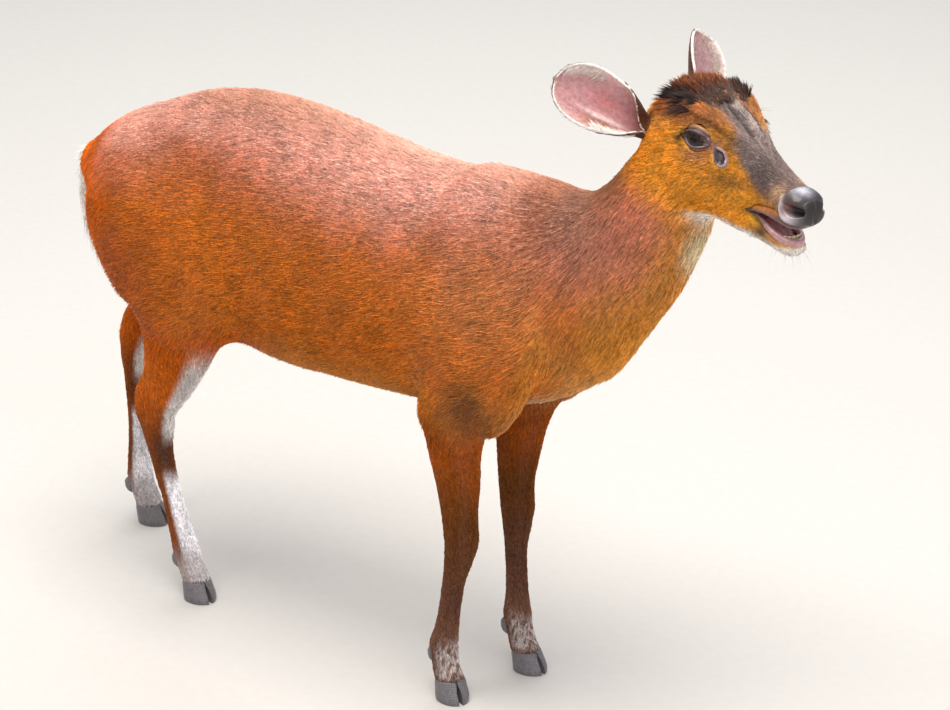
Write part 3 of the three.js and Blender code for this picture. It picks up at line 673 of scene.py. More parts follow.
def clipped(points, quads, centre, normal, name):
    """The part of a surface that lies behind a plane, and the loop of points left on the plane."""
    piece = add_mesh(name, points, [quads])
    work = bmesh.new()
    work.from_mesh(piece.data)
    geometry = work.verts[:] + work.edges[:] + work.faces[:]
    spot = (centre + ORIGIN) * MM
    bmesh.ops.bisect_plane(work, geom=geometry, plane_co=spot, plane_no=normal, clear_outer=True)
    bmesh.ops.triangulate(work, faces=[face for face in work.faces if len(face.verts) > 4])
    work.to_mesh(piece.data)
    work.free()
    mesh = piece.data
    points = read_back(mesh.vertices, "co", 3, float).reshape(-1, 3) / MM - ORIGIN
    loop_index = read_back(mesh.loops, "vertex_index")
    total = read_back(mesh.polygons, "loop_total")
    start = read_back(mesh.polygons, "loop_start")
    quads = loop_index[start[total == 4][:, None] + np.arange(4)]
    triangles = loop_index[start[total == 3][:, None] + np.arange(3)]
    bpy.data.objects.remove(piece)
    on_plane = np.flatnonzero(np.abs((points - centre) @ normal) < ON_PLANE)
    return points, quads, triangles, on_plane


def zip_loops(a, b, angle_a, angle_b):
    """Triangles between two rings: in order of angle, each point with its ring's last and the other's."""
    order_a, order_b = np.argsort(angle_a), np.argsort(angle_b)
    ring = np.concatenate([a[order_a], b[order_b]])
    of_b = np.concatenate([np.zeros(len(a), bool), np.ones(len(b), bool)])
    turn = np.argsort(np.concatenate([angle_a[order_a], angle_b[order_b]]), kind="stable")
    ring, of_b = np.tile(ring[turn], 2), np.tile(of_b[turn], 2)
    place = np.arange(len(ring))
    last_a = np.maximum.accumulate(np.where(~of_b, place, -1))
    last_b = np.maximum.accumulate(np.where(of_b, place, -1))
    half = len(ring) // 2
    now = place[half:]
    own = np.where(of_b[now], last_b[now - 1], last_a[now - 1])
    other = np.where(of_b[now], last_a[now - 1], last_b[now - 1])
    faces = np.column_stack([ring[own], ring[now], ring[other]])
    faces[of_b[now]] = faces[of_b[now]][:, ::-1]
    return faces


# %% Two readings of the distances
NECK_JOIN = np.array([232.0, 6.0, 518.0])
NECK_AXIS = unit(np.array([22.0, 3.0, 36.0]))
body_part = skin_part((-475, -115, 10), (310, 115, 575), BODY_VOXEL, False)
head_part = skin_part((196, -62, 455), (420, 72, 655), HEAD_VOXEL, True)
body = clipped(*body_part, NECK_JOIN, NECK_AXIS, "skin_of_body")
head = clipped(*head_part, NECK_JOIN + BAND * NECK_AXIS, -NECK_AXIS, "skin_of_head")
print("body", body[0].shape, "head", head[0].shape, "rings", len(body[3]), len(head[3]))

# %% [markdown]
# Two readings of one set of distances meet at a plane across the upper neck: the body's with cells of
# nearly four millimetres, the head's much finer. Both surfaces end in a ring on nearly the same curve, so a
# band of triangles zips them into one closed skin with no seam.

# %% Zip head and body into one skin
def ring_angle(points):
    """The angle of points round the axis of the neck."""
    sideways = unit(np.cross(NECK_AXIS, (0, 1, 0)))
    upwards = np.cross(sideways, NECK_AXIS)
    return np.arctan2((points - NECK_JOIN) @ upwards, (points - NECK_JOIN) @ sideways)


body_points, body_quads, body_triangles, body_ring = body
head_points, head_quads, head_triangles, head_ring = head
count = len(body_points)
SKIN = np.vstack([body_points, head_points])
band = zip_loops(body_ring, head_ring + count, ring_angle(SKIN[body_ring]),
                 ring_angle(SKIN[head_ring + count]))
skin_quads = np.vstack([body_quads, head_quads + count])
skin_triangles = np.vstack([body_triangles, head_triangles + count, band])


def vertex_normals(points, quads, triangles):
    """The sum, at each point, of its faces' normals weighted by area, over its length."""
    split = np.vstack([triangles, quads[:, [0, 1, 2]], quads[:, [0, 2, 3]]])
    a, b, c = (points[split[:, k]] for k in range(3))
    face = np.cross(b - a, c - a)
    total = np.zeros_like(points)
    for k in range(3):
        for axis in range(3):
            total[:, axis] += np.bincount(split[:, k], face[:, axis], len(points))
    return unit(total), split, np.linalg.norm(face, axis=1) / 2


middle = (SKIN[band[:, 0]] + SKIN[band[:, 1]] + SKIN[band[:, 2]]) / 3
a, b, c = (SKIN[band[:, k]] for k in range(3))
outward = np.einsum("ij,ij->i", np.cross(b - a, c - a), middle - NECK_JOIN)
print("band faces out", int((outward > 0).sum()), "in", int((outward < 0).sum()))
if (outward > 0).sum() < len(band) / 2:
    skin_triangles = np.vstack([body_triangles, head_triangles + count, band[:, ::-1]])
SKIN_NORMAL, SKIN_FACES, SKIN_AREA = vertex_normals(SKIN, skin_quads, skin_triangles)
print("skin", len(SKIN), "points", len(SKIN_FACES), "triangles", round(SKIN_AREA.sum() / 1e6, 3), "m2")

# %% [markdown]
# Where each colour lies is one function of a place on the body and the way the skin faces there. The
# skin and every tuft ask it, so both carry the same markings. It starts from the orange of the
# flank and lays the other colours over it one by one, each with a soft edge: a red-brown back with
# painted sheen that makes its upward faces pale pink, dark withers, a pale throat, dark shins, white
# inside the hind legs, and the face's pattern with patches of painted shade.

# %% Colour helpers

def ripple(points, wavelength, seed):
    """A smooth random field, about -1 to 1: the mean of eight sine waves in random directions."""
    draw = np.random.default_rng(seed)
    ways = unit(draw.normal(size=(8, 3))) * (2 * np.pi / wavelength) * draw.uniform(0.6, 1.5, (8, 1))
    return np.sin(points @ ways.T + draw.uniform(0, 2 * np.pi, 8)).mean(1) * 2


def paint(colour, code, share):
    """What was there times (1 - share), plus the new colour times share."""
    return colour + (linear(code) - colour) * np.clip(share, 0, 1)[:, None]


def leg_place(points):
    """Which leg is nearest, and the offset from its middle line at that height over its half sizes."""
    offsets = []
    for rows in LEGS.values():
        line = rows[::-1]
        centre = np.column_stack([np.interp(points[:, 2], line[:, 2], line[:, k]) for k in (0, 1)])
        half = np.column_stack([np.interp(points[:, 2], line[:, 2], line[:, k]) for k in (3, 5)])
        offsets.append((points[:, :2] - centre) / half)
    offsets = np.array(offsets)
    nearest = np.argmin((offsets ** 2).sum(2), axis=0)
    return nearest, offsets[nearest, np.arange(len(points))]


def near(points, centre, radii):
    """exp(-|(p - centre) / radii| squared): 1 at the centre, fading past the radii."""
    return np.exp(-(((points - centre) / radii) ** 2).sum(1))


def head_share(points):
    """0 on the body, 1 on the head, changing over 40 mm of the upper neck."""
    return ramp((points - NECK_JOIN) @ NECK_AXIS, 4, 44)


# %% Markings of the body
def body_colour(points, normals):
    """The flank's orange, with the other colours of trunk, neck and legs laid over it."""
    x, y, z = points.T
    mirrored = np.column_stack([x, np.abs(y), z])
    mottle = ripple(points, 60, 3)
    colour = plain("#d2781b", len(points))
    colour = paint(colour, "#cc8428", 1 - ramp(z + 10 * mottle, 285, 350))
    colour = paint(colour, "#e4760f", ramp(-x + 12 * mottle, 318, 392))
    colour = paint(colour, "#c05a09", near(points, (-330, 0, 350), (60, 400, 60)) * 0.7)
    # red-brown saddle along the back, its paler pink partly painted sheen from overhead light
    saddle_and_sheen = ramp(z + 0.10 * x + 10 * mottle, 402, 500) * (1 - ramp(-x, 350, 400))
    colour = paint(colour, "#d68a6c", saddle_and_sheen * 0.9)
    # painted sheen: skin and tufts that face upwards on the back and croup are painted pale pink, the shine
    # of overhead light on the coat
    top = ramp(normals[:, 2], 0.25, 0.85) * (1 - ramp(-x, 365, 405)) * (1 - ramp(x, 90, 150))
    colour = paint(colour, "#f4c6b8", top * 0.75)
    colour = paint(colour, "#c98a58", near(points, (110, 0, 420), (70, 400, 60)) * 0.6)
    colour = paint(colour, "#a67f6e", near(points, (175, 0, 495), (52, 60, 42)) * 0.95)
    nape = ramp(z, 490, 560) * ramp(normals[:, 2] - 0.6 * normals[:, 0], 0.1, 0.9)
    colour = paint(colour, "#a56d40", nape * 0.7)
    front = ramp(normals[:, 0] - 0.5 * normals[:, 2], 0.15, 0.8) * ramp(x, 120, 190)
    colour = paint(colour, "#d99a3c", front * 0.75)
    colour = paint(colour, "#d3a878", near(points, (168, 0, 352), (32, 34, 30)) * 0.7)
    colour = paint(colour, "#e6d5bd", near(points, (128, 0, 300), (40, 44, 22)) * 0.9)
    groin = near(points, (-275, 0, 300), (40, 40, 40)) * ramp(-normals[:, 2], 0.35, 0.8)
    colour = paint(colour, "#e9e0d4", groin)
    colour = paint(colour, "#5c3626", near(mirrored, (98, 80, 312), (24, 30, 30)) * 0.75)
    return colour, mottle


def leg_colour(colour, points, normals, mottle):
    """Forelegs darken downwards; hind legs are pale in front and inside, dark at the hock."""
    z = points[:, 2]
    leg, offset = leg_place(points)
    fore = leg < 2
    out = np.where(leg % 2 == 0, -1, 1)
    outer = offset[:, 1] * out
    ahead = offset[:, 0]
    close = 1 - ramp(np.hypot(ahead, outer), 1.4, 2.2)
    on_fore = (1 - ramp(z + 8 * mottle, 262, 322)) * fore * close
    colour = paint(colour, "#a8540c", on_fore)
    colour = paint(colour, "#74400f", on_fore * (1 - ramp(z + 10 * mottle, 185, 262)))
    colour = paint(colour, "#6a422e", on_fore * (1 - ramp(z + 10 * mottle, 110, 196)))
    colour = paint(colour, "#835b45", on_fore * (1 - ramp(z, 60, 108)) * 0.8)
    speckle = np.clip(0.7 + 1.2 * ripple(points, 5, 41), 0, 1)
    pastern = (1 - ramp(z + 6 * mottle, 44, 66)) * ramp(z, 18, 30)
    colour = paint(colour, "#d8cfcc", on_fore * pastern * speckle * ramp(ahead, -0.5, 0.3))
    on_hind = (1 - ramp(z + 8 * mottle, 285, 345)) * ~fore * close
    colour = paint(colour, "#cb680d", on_hind)
    colour = paint(colour, "#8c4a1a", on_hind * (1 - ramp(z + 10 * mottle, 160, 240)))
    dark_hock = near(np.column_stack([ahead, outer, z]), (0.7, 0.5, 152), (0.9, 1.0, 24))
    colour = paint(colour, "#50342a", dark_hock * on_hind * 0.85)
    inside = ramp(0.98 * ahead - 0.2 * outer, 0.4, 0.75) * ramp(z, 156, 178)
    colour = paint(colour, "#dcd6d2", inside * on_hind * (1 - ramp(z, 256, 296)))
    stripe = ramp(ahead - 0.2 * outer, -0.05, 0.45) * (1 - ramp(z, 120, 138))
    colour = paint(colour, "#f0edf0", stripe * on_hind)
    colour = paint(colour, "#c0b8b6", on_hind * (1 - ramp(z + 6 * mottle, 30, 66)) * 0.8)
    return colour


# %% Patches of the head
CHEEK = "#f2aa2e"
# Colour, centre u, v, w and radii, strength: soft patches under the bridge's grey, then over it
PATCHES_UNDER = [
    ("#f2bc70", (-52, 34, 16), (16, 14, 16), 0.8),  # pale hair before the ear
    ("#5a3522", (-68, 30, 6), (9, 9, 12), 0.8),  # root of the ear
    ("#a06a30", (34, 24, -30), (28, 14, 8), 0.75),  # painted shade along the muzzle's side under the cheek
    ("#9c6a3c", (26, 20, 4), (18, 10, 14), 0.7),  # painted shade between eye and bridge, under the brow
]
PATCHES_OVER = [
    ("#e0b896", (86, 15, -31), (8, 10, 9), 0.85),  # pale hair behind the nostril
    ("#b07a6a", (4, 34, -11), (17, 10, 8), 0.7),  # thin hair under the eye
    ("#a5848a", (19.5, 29, -2), (4, 7, 5), 0.9),  # from the eye's corner to the gland
    ("#33241f", (-16, 36, 0), (5, 9, 5), 0.9),  # behind the eye
    ("#4b3531", (-1, 32, 8), (15, 9, 7), 0.55),  # over the upper lid
]


def paint_patches(colour, points, patches):
    """Lays each patch over what was there, in the table's order."""
    for code, centre, radii, strength in patches:
        colour = paint(colour, code, near(points, centre, radii) * strength)
    return colour


# %% Markings of the head
def head_colour(points, normals):
    """Orange cheeks and crown, a grey-brown bridge, pale lips and chin, dark round mouth and eyes."""
    place = in_head(points)
    facing = normals @ HEAD_TURN
    u, v, w = place.T
    mottle = ripple(points, 22, 5)
    mirrored = np.column_stack([u, np.abs(v), w])
    top = np.interp(u, [row[0] for row in SKULL], [row[1] for row in SKULL])
    colour = plain(CHEEK, len(points))
    colour = paint(colour, "#c98650", ramp(w + 3 * mottle, 4, 20) * (1 - ramp(-u, 30, 50)))
    colour = paint_patches(colour, mirrored, PATCHES_UNDER)
    reach = np.interp(u, [0, 30, 44, 64, 84], [12, 14, 16, 16, 11]) + 3 * mottle
    bridge = (1 - ramp(top - w, reach - 8, reach + 9)) * ramp(u + 4 * mottle, -8, 8)
    wide = np.interp(u, [0, 20, 31, 44, 60], [9, 10, 13, 18, 30]) + 2 * mottle
    bridge = bridge * (1 - ramp(np.abs(v), wide - 4, wide + 9))
    colour = paint(colour, "#8c7b76", bridge)
    colour = paint(colour, "#6b4528", near(mirrored, (4, 20, 20), (13, 6, 9)) * 0.75)
    ridge = near(place, (12, 4, 23), (9, 5, 9)) + near(place, (27, 5.5, 13), (10, 5, 9))
    colour = paint(colour, "#b8aaa5", ridge * 0.8)
    slit = near(place, (17, -2, 19), (8, 2.2, 8)) + near(place, (29, -1.5, 10), (8, 2.2, 6))
    slit = slit + near(place, (18, 12, 16), (8, 2.2, 8))
    colour = paint(colour, "#382c2a", slit * 0.8)
    muzzle = ramp(u, 48, 66) * (1 - ramp(top - w, 14, 26))
    colour = paint(colour, "#6f5d5b", muzzle * 0.7)
    lips = ramp(u, 58, 78) * ramp(top - w, 16, 28)
    colour = paint(colour, "#c98f58", lips * 0.8)
    colour = paint_patches(colour, mirrored, PATCHES_OVER)
    under = ramp(-facing[:, 2], 0.0, 0.5) * ramp(-w, 60, 70) * ramp(u, -28, -8)
    colour = paint(colour, "#f6efe6", under)
    colour = paint(colour, "#f6efe6", ramp(u, 62, 78) * ramp(-w, 76, 81))
    colour = paint(colour, "#4b362f", near(mirrored, (63, 15, -70), (11, 9, 8)) * (1 - 0.8 * under))
    cavity = (np.abs(v) < 10.2) & (u > 47) & (u < 88) & (w > -76) & (w < -49.5)
    colour[cavity] = linear("#7a474b")
    return colour


THROAT_TOP = np.array([262, 9, 514])


def coat_colour(points, normals):
    """The body's and the head's colours mixed by the head's share, with the throat patch over both."""
    colour, mottle = body_colour(points, normals)
    colour = leg_colour(colour, points, normals, mottle)
    share = head_share(points)
    colour = colour + (head_colour(points, normals) - colour) * share[:, None]
    along = (points - THROAT_TOP) @ unit(np.array([-0.3, 0, -0.95]))
    throat = near(points + (3, 0, 0) * mottle[:, None], (290, 5, 486), (26, 18, 30))
    colour = paint(colour, "#e2cda6", np.clip(throat * 1.7 - 0.35, 0, 1) * (along > -40))
    fine = (0.06 + 0.08 * share) * ripple(points, 9, 9)
    return colour * (1 + 0.10 * ripple(points, 34, 8) + fine)[:, None]


SKIN_COLOUR = coat_colour(SKIN, SKIN_NORMAL)
print("mean coat colour", np.round(SKIN_COLOUR.mean(0), 3))

# %% [markdown]
# Hair lies back along the trunk, down the legs, and from the nose over the forehead to the neck. The
# lie is a direction at every point of the skin: a few main directions, each strong in its own part,
# added up, laid flat on the skin, and turned a little at random as real hair is.

# %% Lie of the coat
def hair_lie(points, normals):
    """Back, down and along the neck or head by their shares, minus the part that leaves the skin."""
    x, y, z = points.T
    legs = 1 - ramp(z, 280, 400)
    rump = ramp(-x, 300, 410)
    neck = ramp(x, 110, 200)
    lie = np.column_stack([np.full(len(x), -1.0), 0 * x, -0.28 - 0.9 * rump - 0.3 * legs])
    lie = lie + (np.array([0.15, 0, -1.6]) - lie) * (1 - ramp(z, 230, 330))[:, None]
    lie = lie + (-NECK_AXIS * (1, 0, 1) - (0.15, 0, 0.1) - lie) * neck[:, None]
    place = in_head(points)
    drop = ramp(-place[:, 2], -10, 50)
    on_face = np.column_stack([np.full(len(x), -1.0), 0.25 * np.sign(place[:, 1]), -0.1 - 0.5 * drop])
    share = head_share(points)[:, None]
    lie = lie + (turn_on_head(on_face) - lie) * share
    swirl = 0.16 * ripple(points, 70, 21) + 0.10 * ripple(points, 20, 22)
    lie = lie - (lie * normals).sum(1, keepdims=True) * normals
    lie = unit(lie)
    return unit(lie + swirl[:, None] * np.cross(normals, lie))


def coat_sizes(points):
    """Length, width, lift of the tips and tufts per square millimetre, all by place."""
    x, y, z = points.T
    low = 1 - ramp(z, 120, 250)
    high = ramp(z, 240, 330)
    place = in_head(points)
    face = head_share(points)
    muzzle = ramp(place[:, 0], -10, 60) * face
    length = 6.6 + 2.8 * high - 1.6 * low
    length = length + 3 * near(points, (-160, 0, 280), (160, 90, 30))
    length = length + 5 * near(points, (135, 0, 305), (40, 40, 26))
    length = length * (1 - face) + (6.5 - 3.3 * muzzle) * face
    width = (0.78 + 0.2 * high - 0.1 * low) * (1 - face) + (0.74 - 0.24 * muzzle) * face
    lift = 0.11 * (1 - face) + 0.12 * face
    density = (0.72 - 0.37 * high + 0.25 * low) * (1 - face) + (0.95 + 0.7 * muzzle) * face
    return length, width, lift, density

# %% [markdown]
# Each tuft is a slim closed wedge of four faces: two root corners sunk in the skin, a ridge and a tip.
# It is a cheap shape, so there can be hundreds of thousands, which overlap as real hair does. Roots
# are drawn at random over the skin's faces, more where the hair is finer.

# %% Roots of the coat
COAT_TUFTS = 300000
corner = SKIN[SKIN_FACES]
centre_of_face = corner.mean(1)


SCAR_LOW = np.array([141, -74, 352])
SCAR_WAY = np.array([0.40, 0.54, 0.74])
SCAR_LENGTH = 32
SOLE_EDGE = 12


def bare(points):
    """Where no tuft grows: the mouth, lids and glands, the nose pad, hooves, eyes and the scar."""
    place = in_head(points)
    mirrored = place * (1, 0, 1) + np.abs(place) * (0, 1, 0)
    lids = (mirrored - EYE_CENTRE - (0.6, 0, 1)) / (1.12, 1, 0.86)
    bald = np.linalg.norm(lids, axis=1) < EYE_RADIUS + 1.6
    bald |= np.linalg.norm((mirrored - (23.5, 29, -8)) / (5.6, 8, 8.6), axis=1) < 1
    in_mouth = (place[:, 0] > 50) & (np.abs(place[:, 1]) < 17) & (place[:, 2] < -49) & (place[:, 2] > -80)
    bald |= in_mouth & (np.abs(place[:, 2] + 52 + 0.45 * (place[:, 0] - 50)) < 14)
    bald |= (place[:, 0] > np.where(place[:, 2] > -29, 98, 91)) & (place[:, 2] > -64)
    along = np.clip((points - SCAR_LOW) @ SCAR_WAY, 0, SCAR_LENGTH)
    line = SCAR_LOW + along[:, None] * SCAR_WAY
    bald |= np.linalg.norm(points - line, axis=1) < 2.2 * np.sin(np.pi * (along + 3) / 38)
    return bald | (points[:, 2] < SOLE_EDGE)


weight = SKIN_AREA * coat_sizes(centre_of_face)[3]
total = np.cumsum(weight)
draws = (np.arange(COAT_TUFTS) + rng.random(COAT_TUFTS)) * total[-1] / COAT_TUFTS
chosen = np.searchsorted(total, draws)
mix = rng.random((COAT_TUFTS, 2))
mix = np.where(mix.sum(1, keepdims=True) > 1, 1 - mix, mix)
share = np.column_stack([1 - mix.sum(1), mix])
roots = (corner[chosen] * share[:, :, None]).sum(1)
normals = unit((SKIN_NORMAL[SKIN_FACES[chosen]] * share[:, :, None]).sum(1))
kept = ~bare(roots)
roots, normals = roots[kept], normals[kept]
print("roots", len(roots), "for", round(total[-1]))


# %% Tufts as wedges
TUFT_FACES = np.array([(0, 2, 3), (1, 3, 2), (0, 1, 2), (0, 3, 1)])


def wedges(roots, normals, lie, length, width, lift, ridge=0.45):
    """Root corners half a width to each side and sunk, a ridge over a quarter of the way, and a tip."""
    across = np.cross(normals, lie)
    sunk = -0.35 * width[:, None] * normals
    rise = (lift * length)[:, None] * normals
    left = roots - 0.5 * width[:, None] * across + sunk
    right = roots + 0.5 * width[:, None] * across + sunk
    crown = roots + 0.3 * length[:, None] * lie + 0.4 * rise + ridge * width[:, None] * normals
    tip = roots + length[:, None] * lie + rise
    return np.stack([left, right, crown, tip], 1)


def add_tufts(name, corners, faces, colours, spots, material, slot):
    """Joins tufts, n by k corners, into one piece; spots are the roots' places on the unwrap."""
    n, k = corners.shape[:2]
    patch = np.column_stack([np.linspace(-0.0015, 0.0015, k), np.abs(np.linspace(-0.0015, 0.0015, k))])
    uv = np.clip(spots[:, None] + patch[None], 0, 1).reshape(-1, 2)
    colour = np.concatenate([colours.reshape(n * k, 3), np.ones((n * k, 1))], 1)
    return add_piece(name, corners.reshape(-1, 3), [repeated(faces, n, k)], material, slot, smooth=False,
                     attributes={"coat_colour": colour}, uv=uv)


# %% Material of the coat
def coat_material(name, gloss):
    """Deer hair: a keratin tube with a rough, slightly waxy surface, seen as soft streaks of sheen."""
    material, tree, shader = new_material(name, Roughness=gloss, IOR=1.45, Sheen_Weight=0.3,
                                          Sheen_Roughness=0.35)
    shader.inputs["Specular IOR Level"].default_value = 0.25
    shader.inputs["Sheen Tint"].default_value = rgba("#ffd9c4")
    colour = add_node(tree, "Attribute", attribute_name="coat_colour")
    place = add_node(tree, "TexCoord").outputs["Object"]
    fleck = add_node(tree, "TexNoise", {"Vector": place, "Scale": 420, "Detail": 2})
    level = add_node(tree, "MapRange", {"Value": fleck.outputs["Fac"], "From Min": 0.3,
                                                  "From Max": 0.7, "To Min": 0.75, "To Max": 1.22})
    tone = add_node(tree, "VectorMath", {0: colour.outputs["Color"], 1: level.outputs[0]},
                    operation="MULTIPLY")
    tree.links.new(tone.outputs[0], shader.inputs["Base Color"])
    return material, tree, shader, place


# %% Hair and underfur
hair_material, *_ = coat_material("short deer hair", 0.55)
skin_material, tree, shader, place = coat_material("underfur on skin", 0.7)
fibre = add_node(tree, "TexNoise", {"Vector": place, "Scale": 700, "Detail": 3})
bump = add_node(tree, "Bump", {"Height": fibre.outputs["Fac"], "Strength": 0.5, "Distance": 0.0008})
tree.links.new(bump.outputs[0], shader.inputs["Normal"])

# %% Skin piece
# painted shade: the skin is 0.85 as bright as the coat, like the shaded roots of the tufts over it
skin = add_piece("skin", SKIN, [skin_quads, skin_triangles], skin_material, "coat",
                 attributes={"coat_colour": np.column_stack([SKIN_COLOUR * 0.85, np.ones(len(SKIN))])})
flesh = ["torso", "neck", "head", "jaw"]
flesh += [f"leg_{name}_{part}" for name in LEGS for part in ("upper", "lower")]
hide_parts(*flesh)


# %% [markdown]
# One piece of coat would be far too heavy, so it is parted by regions and sides. Each region has its
# own unwrap for the bake: the angle round the region's axis, and the way along it.

# %% Coat pieces
def region_of(points):
    """A region number for each root: head, neck, shoulder, ribs, loin, rump, forelegs, hind legs."""
    x, y, z = points.T
    region = np.select([x > 128, x > 30, x > -105, x > -255], [1, 2, 3, 4], 5)
    region = np.where((z < 300) & (x > -50) & (leg_distance(points) < 1.5), 6, region)
    region = np.where((z < 320) & (x < -150) & (leg_distance(points) < 1.5), 7, region)
    return np.where(head_share(points) > 0.5, 0, region)


def leg_distance(points):
    """How far from the nearest leg's middle, in its half sizes."""
    return np.linalg.norm(leg_place(points)[1], axis=1)


def unwrapped(points, region):
    """Angle round the region's axis and way along it, each stretched from 0.01 to 0.99."""
    if region == 0:
        u, v, w = in_head(points).T
        angle, along = np.arctan2(np.abs(v), w + 30), u
    elif region == 1:
        along = (points - NECK_JOIN) @ NECK_AXIS
        off = points - NECK_JOIN - along[:, None] * NECK_AXIS
        upwards = np.cross(unit(np.cross(NECK_AXIS, (0, 1, 0))), NECK_AXIS)
        angle = np.arctan2(np.abs(points[:, 1]), off @ upwards)
    elif region >= 6:
        offset = leg_place(points)[1]
        angle, along = np.arctan2(offset[:, 1], offset[:, 0]), points[:, 2]
    else:
        angle, along = np.arctan2(np.abs(points[:, 1]), points[:, 2] - 400), points[:, 0]
    spots = np.column_stack([angle, along])
    low, high = spots.min(0), spots.max(0)
    return 0.01 + 0.98 * (spots - low) / (high - low)


# %% The coat
REGIONS = ("face", "neck", "shoulder", "ribs", "loin", "rump", "foreleg", "hindleg")
length, width, lift, _ = coat_sizes(roots)
vary = rng.normal(0, 1, (len(roots), 4))
length = length * np.clip(1 + 0.18 * vary[:, 0], 0.55, 1.6)
width = width * np.clip(1 + 0.2 * vary[:, 1], 0.6, 1.6)
lift = lift * np.clip(1 + 0.45 * vary[:, 2], 0.2, 2.4)
lie = hair_lie(roots, normals)
lie = unit(lie + 0.12 * vary[:, 3:4] * np.cross(normals, lie))
tufts = wedges(roots, normals, lie, length, width, lift)
tone = coat_colour(roots, normals)
ticking = 0.4 + 0.6 * ramp(roots[:, 2] + 0.1 * roots[:, 0], 400, 480)
ticking = ticking * (rng.random(len(roots)) < 0.13)
back = ramp(normals[:, 2], 0.2, 0.8)[:, None]
tone = tone * (1 + (0.24 - 0.14 * back) * rng.normal(0, 1, (len(roots), 1)).clip(-2, 2))
tone = tone * (1 - 0.45 * ticking[:, None])
# painted shade at each tuft's two root corners, and painted light at its tip
shade = np.array([0.7, 0.7, 1.0, 1.18])
colours = tone[:, None] * shade[None, :, None]
region = region_of(roots)
for number, word in enumerate(REGIONS):
    for side, hand in SIDES:
        middle_line = in_head(roots)[:, 1] if number == 0 else roots[:, 1]
        here = (region == number) & (np.sign(middle_line + 1e-9) == side)
        add_tufts(f"coat_{word}_{hand}", tufts[here], TUFT_FACES, colours[here],
                  unwrapped(roots[here], number), hair_material, "coat")

# %% [markdown]
# The head's fine parts are placed in the head's own frame and then turned with it. Those on her right
# are the mirror of those on her left, so each function takes the side as -1 or 1 and keeps the faces
# outwards by their volume or by the way they should face.

# %% Helpers for the head's parts
def from_left(points, side):
    """A point worked out for the left side, in the head's frame, placed on the given side."""
    return on_head(np.asarray(points, float) * (1, side, 1))


def sheet_faces(grid, outward):
    """Quads of an open grid, turned so that most of them face along the outward directions."""
    rings, sides = grid.shape[:2]
    faces = grid_faces(rings, sides, closed=False)
    flat = grid.reshape(-1, 3)
    normal = np.cross(flat[faces[:, 2]] - flat[faces[:, 0]], flat[faces[:, 3]] - flat[faces[:, 1]])
    facing = np.einsum("ij,ij->i", normal, outward.reshape(-1, 3)[faces[:, 0]])
    return faces if facing.sum() > 0 else faces[:, ::-1]


def colour_layer(values):
    """Linear colours with a fourth number of 1."""
    return {"coat_colour": np.column_stack([values, np.ones(len(values))])}


def bare_skin(name, gloss, bump_size, bump_height, coat=0.0):
    """Bare moist skin: soft light under it, a wet film over it, fine pores as bump."""
    material, tree, shader = new_material(name, Roughness=gloss, IOR=1.4, Coat_Weight=coat,
                                          Coat_Roughness=0.12, Subsurface_Weight=0.12,
                                          Subsurface_Scale=0.004)
    colour = add_node(tree, "Attribute", attribute_name="coat_colour")
    place = add_node(tree, "TexCoord").outputs["Object"]
    pores = add_node(tree, "TexVoronoi", {"Vector": place, "Scale": 1 / bump_size}, feature="SMOOTH_F1")
    stain = add_node(tree, "TexNoise", {"Vector": place, "Scale": 0.3 / bump_size, "Detail": 3})
    level = add_node(tree, "MapRange", {"Value": stain.outputs["Fac"], "From Min": 0.3,
                                                  "From Max": 0.7, "To Min": 0.78, "To Max": 1.15})
    tone = add_node(tree, "VectorMath", {0: colour.outputs["Color"], 1: level.outputs[0]},
                    operation="MULTIPLY")
    bump = add_node(tree, "Bump", {"Height": pores.outputs["Distance"], "Strength": 0.6,
                                             "Distance": bump_height}, invert=True)
    tree.links.new(tone.outputs[0], shader.inputs["Base Color"])
    tree.links.new(bump.outputs[0], shader.inputs["Normal"])
    return material


# %% [markdown]
# A deer's eye shows almost no white: a dark brown iris with a wide, level pupil, under a wet cornea
# that bulges a little. The lids are a strip that starts tucked under on the eyeball, rolls over a
# thick dark edge, dips in a crease and runs out under the coat.

# %% Eyes
GAZE = unit(np.array([0.228, 0.969, 0.06]))
EYE_FORWARD = unit(np.array([1, 0, -0.03]) - np.dot([1, 0, -0.03], GAZE) * GAZE)
EYE_UP = np.cross(GAZE, EYE_FORWARD)
EYE_UP = EYE_UP * np.sign(EYE_UP[2])


def eye_frame(polar, turn, radius):
    """Centre + radius * (sin polar * (cos turn forward + sin turn up) + cos polar gaze)."""
    polar, turn, radius = np.broadcast_arrays(polar, turn, radius)
    sideways = np.cos(turn)[..., None] * EYE_FORWARD + np.sin(turn)[..., None] * EYE_UP
    ray = np.sin(polar)[..., None] * sideways + np.cos(polar)[..., None] * GAZE
    return EYE_CENTRE + radius[..., None] * ray


# %% Cornea and iris
eye_material, tree, shader = new_material("wet cornea over brown iris", Roughness=0.04, IOR=1.376)
iris_place = add_node(tree, "Attribute", attribute_name="iris_place")
iris_parts = add_node(tree, "SeparateXYZ", {0: iris_place.outputs["Vector"]})
pupil_place = add_node(tree, "CombineXYZ", {0: iris_parts.outputs[0]})
taller = add_node(tree, "Math", {0: iris_parts.outputs[1], 1: 1.7}, operation="MULTIPLY")
tree.links.new(taller.outputs[0], pupil_place.inputs[1])
pupil = add_node(tree, "VectorMath", {0: pupil_place.outputs[0]}, operation="LENGTH")
rim = add_node(tree, "VectorMath", {0: iris_place.outputs["Vector"]}, operation="LENGTH")
streaks = add_node(tree, "TexNoise", {"Vector": iris_place.outputs["Vector"], "Scale": 26})
iris_tone = add_node(tree, "Mix", {"Factor": streaks.outputs["Fac"], "A": rgba("#170b07"),
                                             "B": rgba("#3c2010")}, data_type="RGBA")
